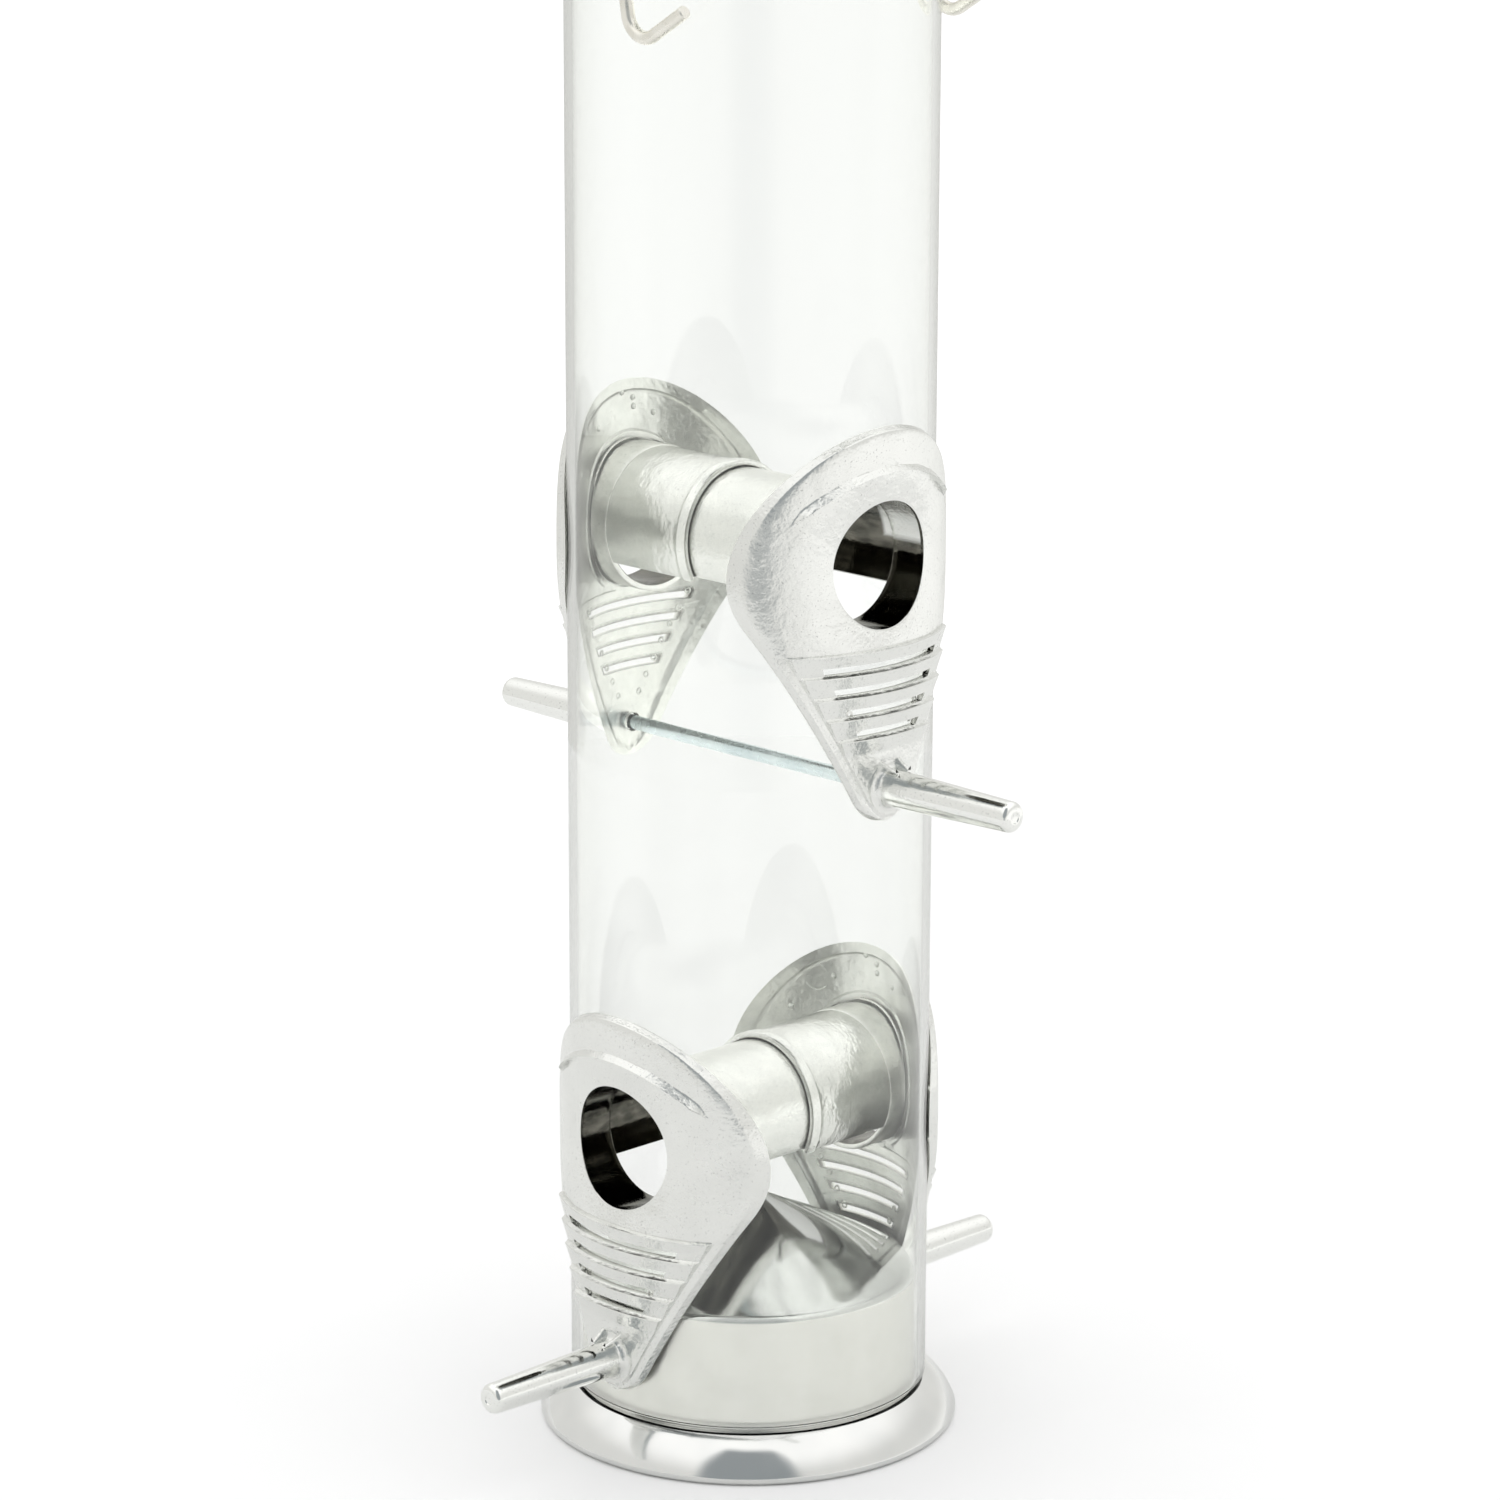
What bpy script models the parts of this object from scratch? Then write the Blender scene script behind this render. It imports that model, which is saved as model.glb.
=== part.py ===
"""Hanging tube bird feeder: a clear tube with four cast seed ports, a spun base and a lid on a wire bail.

Metres, +Z up. The origin is on the tube's axis at the underside of the base. The upper pair of
ports faces +X and -X, and the lower pair faces -Y and +Y.
"""
import math

import bmesh
import bpy
from mathutils import Matrix
from mathutils.geometry import convex_hull_2d

COLLECTION = "hanging_bird_feeder"

# Tube
TUBE_RADIUS = 0.032
TUBE_WALL = 0.0015
TUBE_FOOT_Z = 0.0085
TUBE_TOP_Z = 0.3155
HOOD_FIT = 0.0004
ROUND_STEPS = 60
SPUN_STEPS = 48

# Base: one spun sheet, a rolled flange, a cup wall inside the tube and a seed cone on top
SHEET = 0.0010
FLANGE_RADIUS = 0.0376
FLANGE_TOP_Z = 0.0076
FLANGE_BEAD = 0.0012
FLANGE_BULGE_RADIUS = 0.0119
CUP_RADIUS = 0.0299
CUP_SHOULDER_Z = 0.0288
CUP_SHOULDER_RADIUS = 0.0016
CUP_FOOT_RADIUS = 0.0012
CONE_TOP_Z = 0.0421
CONE_NOSE_SHARE = 0.12
CONE_NOSE_DROP = 0.0008

# Lid: one spun sheet, a cone over a wall that slips over the tube, and a flared brim
LID_WALL_RADIUS = 0.0333
LID_BRIM_RADIUS = 0.0398
LID_BRIM_Z = 0.3021
LID_SHOULDER_Z = 0.3190
LID_SHOULDER_RADIUS = 0.0045
LID_SHOULDER_LIFT = 0.0012
LID_TOP_Z = 0.3420
LID_NOSE = ((0.003, 0.0004), (0.006, 0.0017))
BRIM_FLARE_RADIUS = 0.003
BRIM_FLARE_RISE = 0.0045
BRIM_LIP = 0.0006

# Bail: a wire through two holes in the brim, lowered and leaning, with hooked ends
WIRE_RADIUS = 0.00115
BAIL_HALF_WIDTH = 0.0352
BAIL_TURN = math.radians(-2.0)
BAIL_LEAN = math.radians(-9.8)
BAIL_LEG = 0.0481
BAIL_SHOULDER = 0.0160
BAIL_ARCH_RISE = 0.0242
HOOK_RADIUS = 0.0043
HOOK_BEND = math.radians(110.4)
HOOK_TIP = 0.0088
BRIM_HOLE_RADIUS = 0.0019
BRIM_DRILL_LENGTH = 0.012

# Ports: each casting is a curved plate with a grille, a hood through the tube wall and a perch
PERCH_Z = {"upper": 0.1229, "lower": 0.01875}
PERCH_TIP_X = 0.0630
PERCH_ROOT_RADIUS = 0.0033
PERCH_TIP_RADIUS = 0.0027
PERCH_ROUND = 0.0014
PLATE_INNER = 0.0323
PLATE_OUTER = 0.0339
RIB_CREST = 0.0346
RIB_LEDGE = 0.0006
RIB_STEP = 0.0008
OUTLINE_MARGIN = 0.003
OUTLINE_X = 0.030
OUTLINE_DEPTH = 0.024
HEAD_HALF_WIDTH = 0.0265
HEAD_Z = 0.0370
HEAD_RISE = 0.0254
HEAD_DROP = 0.0210
TIP_Z = 0.0014
TIP_RADIUS = 0.0076
HOLE_Z = 0.0390
HOLE_RADIUS = {"near": 0.0106, "far": 0.0119}
HOOD_WALL = 0.0010
COLLAR_STEP = 0.0002
HOOD_END_X = {"near": -0.0080, "far": 0.0030}
COLLAR_END_X = 0.0295
HOOD_OPEN_BELOW = math.radians(-30)
RIB_TOP_Z = 0.0244
RIB_PITCH = 0.0038
RIB_COUNT = 5
SLOT_HEIGHT = 0.0013
SLOT_LIFT = 0.0011
SLOT_DEPTH = 0.012
SLOT_HALF_WIDTHS = (0.0113, 0.0091, 0.0071, 0.0050)
GUSSET = (0.0036, 0.0009, 0.0030)
GUSSET_LEAN = 0.45
GUSSET_TOP_X = 0.0008
GUSSET_SHIFT = 0.0011
BITE = 0.0005

# Tie rods
ROD_RADIUS = 0.0013
ROD_HALF_LENGTH = 0.0365
ROD_SOCKET_X = 0.0370
ROD_HOLE_RADIUS = 0.0017

for old in list(bpy.data.objects):
    bpy.data.objects.remove(old)
parts = bpy.data.collections.new(COLLECTION)
cutters = bpy.data.collections.new("cutters")
bpy.context.scene.collection.children.link(parts)
bpy.context.scene.collection.children.link(cutters)


def material(name, colour, roughness, metallic, alpha=1.0):
    made = bpy.data.materials.new(name)
    made.use_nodes = True
    shader = made.node_tree.nodes["Principled BSDF"]
    shader.inputs["Base Color"].default_value = (*colour, 1.0)
    shader.inputs["Roughness"].default_value = roughness
    shader.inputs["Metallic"].default_value = metallic
    shader.inputs["Alpha"].default_value = alpha
    return made


def place(mesh, name, made_of=None):
    """Links a mesh as a part when it gets a material, or else as a hidden cutter."""
    thing = bpy.data.objects.new(name, mesh)
    (parts if made_of else cutters).objects.link(thing)
    if made_of:
        if not mesh.materials:
            mesh.materials.append(made_of)
        mesh.shade_smooth()
        mesh.set_sharp_from_angle(angle=math.radians(32))
    else:
        thing.hide_render = True
        thing.display_type = "WIRE"
    return thing


def baked(thing):
    """Returns a plain mesh of an object as its modifiers leave it, and removes the object."""
    bpy.context.view_layer.update()
    graph = bpy.context.evaluated_depsgraph_get()
    mesh = bpy.data.meshes.new_from_object(thing.evaluated_get(graph))
    mesh.transform(thing.matrix_world)
    bpy.data.objects.remove(thing)
    work = bmesh.new()
    work.from_mesh(mesh)
    bmesh.ops.remove_doubles(work, verts=work.verts, dist=1e-6)
    work.to_mesh(mesh)
    work.free()
    mesh.materials.clear()
    return mesh


def turned(profile, name, steps=ROUND_STEPS):
    """Spins (radius, height) points, given top to bottom down the outer side, about Z."""
    work = bmesh.new()
    corners = [work.verts.new((radius, 0.0, height)) for radius, height in profile]
    for first, second in zip(corners, corners[1:]):
        work.edges.new((first, second))
    if profile[0][0] > 0.0:
        work.edges.new((corners[-1], corners[0]))
    mesh = bpy.data.meshes.new(name)
    work.to_mesh(mesh)
    work.free()
    thing = place(mesh, name)
    spin = thing.modifiers.new("spin", "SCREW")
    spin.steps = steps
    spin.render_steps = steps
    spin.use_merge_vertices = True
    spin.merge_threshold = 0.00001
    return baked(thing)


def slab(outlines, depth, name):
    """Extrudes closed flat outlines, a second one being a hole in the first, centred on Z."""
    curve = bpy.data.curves.new(name, "CURVE")
    curve.dimensions = "2D"
    curve.fill_mode = "BOTH"
    curve.extrude = depth / 2
    for outline in outlines:
        spline = curve.splines.new("POLY")
        spline.points.add(len(outline) - 1)
        for point, (x, y) in zip(spline.points, outline):
            point.co = (x, y, 0.0, 1.0)
        spline.use_cyclic_u = True
    thing = bpy.data.objects.new(name, curve)
    cutters.objects.link(thing)
    return baked(thing)


def facing_x(mesh, centre_x, z=0.0):
    """Turns a mesh so that its X, Y, Z become Y, Z, X, and moves it out along X and up."""
    for vertex in mesh.vertices:
        x, y, height = vertex.co
        vertex.co = (height + centre_x, x, y + z)
    return mesh


def block(size, name):
    """A box of the given full sizes, centred on the origin."""
    work = bmesh.new()
    bmesh.ops.create_cube(work, size=1.0)
    bmesh.ops.scale(work, vec=size, verts=work.verts)
    mesh = bpy.data.meshes.new(name)
    work.to_mesh(mesh)
    work.free()
    return mesh


def cylinder(radius, length, name, segments):
    """A plain cylinder along Z, centred on the origin."""
    work = bmesh.new()
    bmesh.ops.create_cone(work, cap_ends=True, segments=segments, radius1=radius, radius2=radius,
                          depth=length)
    mesh = bpy.data.meshes.new(name)
    work.to_mesh(mesh)
    work.free()
    return mesh


def rod_along_x(radius, start, end, name, z=0.0, segments=32):
    """A plain cylinder along X from start to end."""
    return facing_x(cylinder(radius, end - start, name, segments), (start + end) / 2, z)


def arc(centre, radius, first, last, count):
    """Points on an arc, angles in radians anticlockwise from +X; radius may be (x, y)."""
    across, along = radius if isinstance(radius, tuple) else (radius, radius)
    angles = [first + (last - first) * step / (count - 1) for step in range(count)]
    return [(centre[0] + across * math.cos(a), centre[1] + along * math.sin(a)) for a in angles]


def combine(target, tool_mesh, operation, name, carrier=None):
    """Adds a Boolean to target; its other operand is a hidden cutter, which a holder may carry."""
    tool = place(tool_mesh, name)
    tool.parent = carrier
    step = target.modifiers.new(name, "BOOLEAN")
    step.operation = operation
    step.solver = "EXACT"
    step.object = tool


def holder(name, turn=0.0, lean=0.0, location=(0.0, 0.0, 0.0)):
    """An empty that carries a piece's place: leaned about Y, then turned about Z."""
    empty = bpy.data.objects.new(name, None)
    parts.objects.link(empty)
    empty.rotation_euler = (0.0, lean, turn)
    empty.location = location
    return empty


def inside_of(outer, sheet):
    """Offsets a run of outer profile points inwards by the sheet's thickness."""
    inner = []
    for index, (radius, height) in enumerate(outer):
        before = outer[max(index - 1, 0)]
        after = outer[min(index + 1, len(outer) - 1)]
        run = math.hypot(after[0] - before[0], after[1] - before[1])
        radius -= sheet * (before[1] - after[1]) / run
        height -= sheet * (after[0] - before[0]) / run
        inner.append((max(radius, 0.0), height))
    return inner


clear_plastic = material("clear_plastic", (0.93, 0.95, 0.94), 0.08, 0.0, 0.25)
cast_metal = material("plated_casting", (0.80, 0.80, 0.78), 0.22, 1.0)
spun_metal = material("polished_aluminium", (0.78, 0.78, 0.77), 0.16, 1.0)
rod_metal = material("zinc_plated_rod", (0.60, 0.67, 0.72), 0.30, 1.0)
wire_metal = material("bail_wire", (0.68, 0.66, 0.61), 0.25, 1.0)


def make_tube(ports):
    inner = TUBE_RADIUS - TUBE_WALL
    wall = turned([(TUBE_RADIUS, TUBE_TOP_Z), (TUBE_RADIUS, TUBE_FOOT_Z),
                   (inner, TUBE_FOOT_Z), (inner, TUBE_TOP_Z)], "tube")
    tube = place(wall, "tube", clear_plastic)
    for port, (level, side, turn) in ports.items():
        frame = holder(f"{port}_holes", turn, location=(0.0, 0.0, PERCH_Z[level]))
        hood_radius = HOLE_RADIUS[side] + HOOD_WALL + COLLAR_STEP + HOOD_FIT
        for kind, radius, height in (("hood", hood_radius, HOLE_Z), ("rod", ROD_HOLE_RADIUS, 0.0)):
            name = f"{port}_{kind}_hole"
            drill = rod_along_x(radius, TUBE_RADIUS / 2, TUBE_RADIUS * 1.5, name, height, 36)
            combine(tube, drill, "DIFFERENCE", name, frame)
    return tube


def flange_profile():
    """The outside of the base from the cup's foot, over the bulged flange and round its bead."""
    bead_x = FLANGE_RADIUS - FLANGE_BEAD
    start = (TUBE_RADIUS, FLANGE_TOP_Z)
    end = (bead_x + FLANGE_BEAD * math.cos(0.2), FLANGE_BEAD + FLANGE_BEAD * math.sin(0.2))
    chord = math.hypot(end[0] - start[0], end[1] - start[1])
    along = math.atan2(end[1] - start[1], end[0] - start[0])
    half_turn = math.asin(chord / 2 / FLANGE_BULGE_RADIUS)
    inward = along - math.pi / 2
    sagitta = FLANGE_BULGE_RADIUS * math.cos(half_turn)
    centre = ((start[0] + end[0]) / 2 + sagitta * math.cos(inward),
              (start[1] + end[1]) / 2 + sagitta * math.sin(inward))
    middle = along + math.pi / 2
    bulge = arc(centre, FLANGE_BULGE_RADIUS, middle + half_turn, middle - half_turn, 5)
    bead = arc((bead_x, FLANGE_BEAD), FLANGE_BEAD, 0.2, -math.pi / 2, 4)[1:]
    return bulge + bead


def make_base():
    round_centre = (CUP_RADIUS - CUP_SHOULDER_RADIUS, CUP_SHOULDER_Z - CUP_SHOULDER_RADIUS)
    foot_z = FLANGE_TOP_Z + CUP_FOOT_RADIUS
    foot_centre = (CUP_RADIUS + CUP_FOOT_RADIUS, foot_z)
    outer = [(0.0, CONE_TOP_Z), (CUP_RADIUS * CONE_NOSE_SHARE, CONE_TOP_Z - CONE_NOSE_DROP)]
    outer += arc(round_centre, CUP_SHOULDER_RADIUS, math.radians(66), 0.0, 4)
    outer += arc(foot_centre, CUP_FOOT_RADIUS, math.pi, math.pi * 1.5, 3)
    outer += flange_profile()
    bead_inner_x = FLANGE_RADIUS - FLANGE_BEAD * 2.5
    hem = [(bead_inner_x, 0.0), (bead_inner_x, SHEET)]
    under = inside_of(outer, SHEET)
    under = [point for point in under if point[1] > SHEET * 1.8]
    mesh = turned(outer + hem + under[::-1], "base", SPUN_STEPS)
    base = place(mesh, "base", spun_metal)
    drill = rod_along_x(ROD_HOLE_RADIUS, -TUBE_RADIUS, TUBE_RADIUS, "base_rod_hole", 0.0, 24)
    frame = holder("base_rod_line", math.pi / 2, location=(0.0, 0.0, PERCH_Z["lower"]))
    combine(base, drill, "DIFFERENCE", "base_rod_hole", frame)
    return base


def make_lid():
    corner_z = LID_SHOULDER_Z - LID_SHOULDER_RADIUS + LID_SHOULDER_LIFT
    corner = (LID_WALL_RADIUS - LID_SHOULDER_RADIUS, corner_z)
    flare_centre = (LID_WALL_RADIUS + BRIM_FLARE_RADIUS, LID_BRIM_Z + BRIM_FLARE_RISE)
    flare = LID_BRIM_RADIUS - LID_WALL_RADIUS
    outer = [(0.0, LID_TOP_Z)] + [(radius, LID_TOP_Z - drop) for radius, drop in LID_NOSE]
    outer += arc(corner, LID_SHOULDER_RADIUS, math.radians(57), 0.0, 4)
    outer += arc(flare_centre, BRIM_FLARE_RADIUS, math.pi, math.pi * 1.35, 4)
    outer += [(LID_WALL_RADIUS + flare * 0.97, LID_BRIM_Z), (LID_BRIM_RADIUS, LID_BRIM_Z - BRIM_LIP)]
    mesh = turned(outer + inside_of(outer, SHEET)[::-1], "lid", SPUN_STEPS)
    lid = place(mesh, "lid", spun_metal)
    for name, side in (("brim_hole_near", -1), ("brim_hole_far", 1)):
        drill = cylinder(BRIM_HOLE_RADIUS, BRIM_DRILL_LENGTH, name, 24)
        drill.transform(Matrix.Translation((0.0, side * BAIL_HALF_WIDTH, 0.0)))
        combine(lid, drill, "DIFFERENCE", name, hanger)
    return lid


def bail_route():
    """The wire's middle line in the hanger's frame: hook, leg, arch, leg, hook (x, y, z)."""
    def half(side):
        y = side * BAIL_HALF_WIDTH
        hook = arc((HOOK_RADIUS, -BAIL_LEG), HOOK_RADIUS, math.pi, math.pi + HOOK_BEND, 9)
        end_x, end_z = hook[-1]
        tip = (end_x - HOOK_TIP * math.sin(math.pi + HOOK_BEND),
               end_z + HOOK_TIP * math.cos(math.pi + HOOK_BEND))
        points = [tip] + hook[::-1] + [(0.0, -BAIL_LEG / 2)]
        return [(x, y, z) for x, z in points]
    bow = arc((0.0, BAIL_SHOULDER), (BAIL_HALF_WIDTH, BAIL_ARCH_RISE), math.pi, 0.0, 25)
    arch = [(0.0, y, z) for y, z in bow]
    return half(-1) + arch + half(1)[::-1]


def make_bail():
    curve = bpy.data.curves.new("bail", "CURVE")
    curve.dimensions = "3D"
    curve.bevel_depth = WIRE_RADIUS
    curve.bevel_resolution = 2
    curve.use_fill_caps = True
    route = bail_route()
    spline = curve.splines.new("POLY")
    spline.points.add(len(route) - 1)
    for point, place_at in zip(spline.points, route):
        point.co = (*place_at, 1.0)
    curve.materials.append(wire_metal)
    bail = bpy.data.objects.new("bail", curve)
    parts.objects.link(bail)
    bail.parent = hanger
    return bail


def rib_profile():
    """The grille's boards from the top crest down: each stands proud and slopes back inwards."""
    points = [(PLATE_OUTER, RIB_TOP_Z + RIB_LEDGE)]
    for index in range(RIB_COUNT):
        crest = RIB_TOP_Z - index * RIB_PITCH
        points += [(RIB_CREST, crest), (PLATE_OUTER, crest - RIB_PITCH + RIB_STEP)]
    return points


def plate_outline():
    """A round head and a round tip joined by straight sides, as the hull of both (y, z)."""
    points = arc((0.0, HEAD_Z), (HEAD_HALF_WIDTH, HEAD_RISE), 0.0, math.pi, 29)
    points += arc((0.0, HEAD_Z), (HEAD_HALF_WIDTH, HEAD_DROP), math.pi, math.tau, 29)[1:-1]
    points += arc((0.0, TIP_Z), TIP_RADIUS, math.pi, math.tau, 11)
    return [points[index] for index in convex_hull_2d(points)]


def hood_outline(inner, outer):
    """The hood's section, a thick arc that is open underneath (y, z)."""
    first, last = HOOD_OPEN_BELOW, math.pi - HOOD_OPEN_BELOW
    outside = arc((0.0, 0.0), outer, first, last, 21)
    return outside + arc((0.0, 0.0), inner, last, first, 21)


def perch_profile():
    """Perch as (radius, distance from the tube's axis), from its rounded tip to its root."""
    corner = (PERCH_TIP_RADIUS - PERCH_ROUND, PERCH_TIP_X - PERCH_ROUND)
    tip = arc(corner, PERCH_ROUND, math.pi / 2, 0.0, 4)
    root_x = PLATE_INNER + BITE
    return [(0.0, PERCH_TIP_X)] + tip + [(PERCH_ROOT_RADIUS, root_x), (0.0, root_x)]


def upright_to_x(mesh):
    """Turns a mesh that stands along Z so that it points along X, keeping its hand."""
    for vertex in mesh.vertices:
        x, y, z = vertex.co
        vertex.co = (z, x, y)
    return mesh


def gusset_mesh(lean):
    """A small fin that leans out over the perch's root, cut back to the plate at its top."""
    length, thickness, height = GUSSET
    fin = block(GUSSET, "fin")
    for vertex in fin.vertices:
        x, y, z = vertex.co
        if x > 0.0 and z > 0.0:
            x = GUSSET_TOP_X - length / 2
        climb = z + PERCH_ROOT_RADIUS + BITE
        vertex.co = (x + PLATE_OUTER + GUSSET_SHIFT, y + lean * climb * GUSSET_LEAN, climb)
    return fin


def casting_mesh(side):
    """One casting, facing +X with its perch on the X axis; its hood plugs in or is plugged into."""
    top = HEAD_Z + HEAD_RISE + OUTLINE_MARGIN
    foot = TIP_Z - TIP_RADIUS - OUTLINE_MARGIN
    shell = [(PLATE_OUTER, top)] + rib_profile()
    shell += [(PLATE_OUTER, foot), (PLATE_INNER, foot), (PLATE_INNER, top)]
    name = f"casting_{side}"
    casting = place(turned(shell, name), name)
    outline = facing_x(slab([plate_outline()], OUTLINE_DEPTH, "outline"), OUTLINE_X)
    combine(casting, outline, "INTERSECT", f"{side}_outline")
    combine(casting, upright_to_x(turned(perch_profile(), "perch", 16)), "UNION", f"{side}_perch")
    for hand, lean in (("left", 1), ("right", -1)):
        combine(casting, gusset_mesh(lean), "UNION", f"{side}_gusset_{hand}")

    inner = HOLE_RADIUS[side]
    end = HOOD_END_X[side]
    overlap = PLATE_INNER + 0.0006
    collar_radius = inner + HOOD_WALL + COLLAR_STEP
    collar = slab([arc((0.0, 0.0), collar_radius, 0.0, math.tau, 37)[:-1],
                   arc((0.0, 0.0), inner - 0.0004, 0.0, math.tau, 37)[:-1]],
                  overlap - COLLAR_END_X, "collar")
    combine(casting, facing_x(collar, (overlap + COLLAR_END_X) / 2, HOLE_Z), "UNION",
            f"{side}_collar")
    roof_root = COLLAR_END_X + 0.001
    roof = slab([hood_outline(inner + COLLAR_STEP, inner + HOOD_WALL)], roof_root - end, "roof")
    combine(casting, facing_x(roof, (roof_root + end) / 2, HOLE_Z), "UNION", f"{side}_roof")

    seed_hole = rod_along_x(inner, COLLAR_END_X - 0.001, 0.040, "seed_hole", HOLE_Z, 36)
    combine(casting, seed_hole, "DIFFERENCE", f"{side}_seed_hole")
    for index, half_width in enumerate(SLOT_HALF_WIDTHS):
        slot = block((SLOT_DEPTH, half_width * 2, SLOT_HEIGHT), "slot")
        rise = RIB_TOP_Z - RIB_PITCH * (index + 1) + SLOT_LIFT
        slot.transform(Matrix.Translation((PLATE_OUTER, 0.0, rise)))
        combine(casting, slot, "DIFFERENCE", f"{side}_slot_{index + 1}")
    socket = rod_along_x(ROD_HOLE_RADIUS, 0.0300, ROD_SOCKET_X, "socket", 0.0, 24)
    combine(casting, socket, "DIFFERENCE", f"{side}_socket")
    return baked(casting)


def make_port(port, mesh, level, turn):
    """Places a finished casting at its level, turned to face its side of the tube."""
    thing = place(mesh, port, cast_metal)
    thing.parent = holder(f"{port}_frame", turn, location=(0.0, 0.0, PERCH_Z[level]))
    return thing


def make_rod(level, turn):
    mesh = rod_along_x(ROD_RADIUS, -ROD_HALF_LENGTH, ROD_HALF_LENGTH, f"tie_rod_{level}", 0.0, 16)
    rod = place(mesh, f"tie_rod_{level}", rod_metal)
    rod.parent = holder(f"tie_rod_{level}_line", turn, location=(0.0, 0.0, PERCH_Z[level]))
    return rod


PORTS = {
    "port_upper_near": ("upper", "near", 0.0),
    "port_upper_far": ("upper", "far", math.pi),
    "port_lower_near": ("lower", "near", -math.pi / 2),
    "port_lower_far": ("lower", "far", math.pi / 2),
}
hanger = holder("hanger", BAIL_TURN, BAIL_LEAN, (0.0, 0.0, LID_BRIM_Z))
make_tube(PORTS)
make_base()
make_lid()
make_bail()
castings = {side: casting_mesh(side) for side in ("near", "far")}
for port_name, (port_level, port_side, port_turn) in PORTS.items():
    make_port(port_name, castings[port_side], port_level, port_turn)
make_rod("upper", 0.0)
make_rod("lower", math.pi / 2)
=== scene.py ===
"""Looks of the hanging bird feeder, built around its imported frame. Metres, +Z up."""
import math

import bmesh
import bpy
import numpy as np
from mathutils import Matrix, Vector
from mathutils.geometry import convex_hull_2d


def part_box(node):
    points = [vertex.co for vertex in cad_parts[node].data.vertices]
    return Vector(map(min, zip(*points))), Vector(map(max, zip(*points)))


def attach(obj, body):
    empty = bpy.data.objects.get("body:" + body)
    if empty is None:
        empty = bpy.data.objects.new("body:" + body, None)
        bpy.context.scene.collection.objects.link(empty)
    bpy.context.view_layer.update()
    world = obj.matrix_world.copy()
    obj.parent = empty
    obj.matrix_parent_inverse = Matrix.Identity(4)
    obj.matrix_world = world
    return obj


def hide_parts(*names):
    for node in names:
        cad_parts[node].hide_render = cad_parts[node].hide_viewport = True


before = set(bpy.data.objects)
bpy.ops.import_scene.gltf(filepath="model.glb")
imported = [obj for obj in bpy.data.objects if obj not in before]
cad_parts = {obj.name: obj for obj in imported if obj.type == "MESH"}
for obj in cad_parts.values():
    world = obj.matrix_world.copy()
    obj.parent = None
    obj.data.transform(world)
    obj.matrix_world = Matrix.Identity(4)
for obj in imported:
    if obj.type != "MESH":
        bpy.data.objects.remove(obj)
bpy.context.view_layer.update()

MM = 0.001

# ------------------------------------------------------------------ view, light and floor
# A camera a little above the middle, a white room with one darker gap behind the camera that only
# mirror reflections see, and a pale floor that the base stands on. Reflections on metal behind the
# clear plastic get more light and less of the gap.

CAMERA_AT = (0.5996, -0.5930, 0.33825)
CAMERA_TURN = math.radians(45.32)
CAMERA_PITCH = math.radians(14.31)
CAMERA_ROLL = math.radians(0.17)

camera = bpy.data.objects.new("camera", bpy.data.cameras.new("camera"))
bpy.context.scene.collection.objects.link(camera)
camera.data.lens = 118.92
camera.data.sensor_width = 36.0
camera.data.clip_start = 0.01
camera.matrix_world = (Matrix.Translation(CAMERA_AT) @ Matrix.Rotation(CAMERA_TURN, 4, "Z")
                       @ Matrix.Rotation(math.pi / 2 - CAMERA_PITCH, 4, "X")
                       @ Matrix.Rotation(CAMERA_ROLL, 4, "Z"))
bpy.context.scene.camera = camera
bpy.context.scene.view_settings.view_transform = "Standard"


def fill(tree, made, inputs):
    """Fills a node's inputs with values or links."""
    for name, value in inputs.items():
        if isinstance(value, bpy.types.NodeSocket):
            tree.links.new(value, made.inputs[name])
        else:
            made.inputs[name].default_value = value


def node(tree, kind, inputs=None, **options):
    """Adds a shader node, sets its options, and fills its inputs."""
    made = tree.nodes.new("ShaderNode" + kind)
    for option, value in options.items():
        setattr(made, option, value)
    fill(tree, made, inputs or {})
    return made


def maths(tree, operation, first, second=0.0, third=0.0):
    """Output of a Math node."""
    return node(tree, "Math", {0: first, 1: second, 2: third}, operation=operation).outputs[0]


def ramp(tree, value, low, high, to_low=0.0, to_high=1.0):
    """Output of a smooth Map Range node."""
    return node(tree, "MapRange", {"Value": value, "From Min": low, "From Max": high,
                                   "To Min": to_low, "To Max": to_high},
                interpolation_type="SMOOTHSTEP").outputs["Result"]


def mixed(tree, factor, first, second):
    """Colour output of a Mix node; the inputs are colours or links."""
    first, second = (value if isinstance(value, bpy.types.NodeSocket) else (*value, 1.0)
                     for value in (first, second))
    return node(tree, "Mix", {0: factor, 6: first, 7: second}, data_type="RGBA").outputs[2]


ROOM_WHITE = (1.14, 1.14, 1.14)
ROOM_SIDE = (0.76, 0.76, 0.735)
ROOM_OVERHEAD = (1.12, 1.12, 1.10)
ROOM_GAP = (0.30, 0.325, 0.335)
GAP_COSINE = (0.84, 0.93)
GAP_LOW_SHIFT = -0.10
GAP_TOP = (0.90, 0.97)
GAP_BEHIND_PLASTIC = 0.6
EXTRA_BEHIND_ONE_WALL = 0.65
EXTRA_BEHIND_BOTH_WALLS = 0.5

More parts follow.
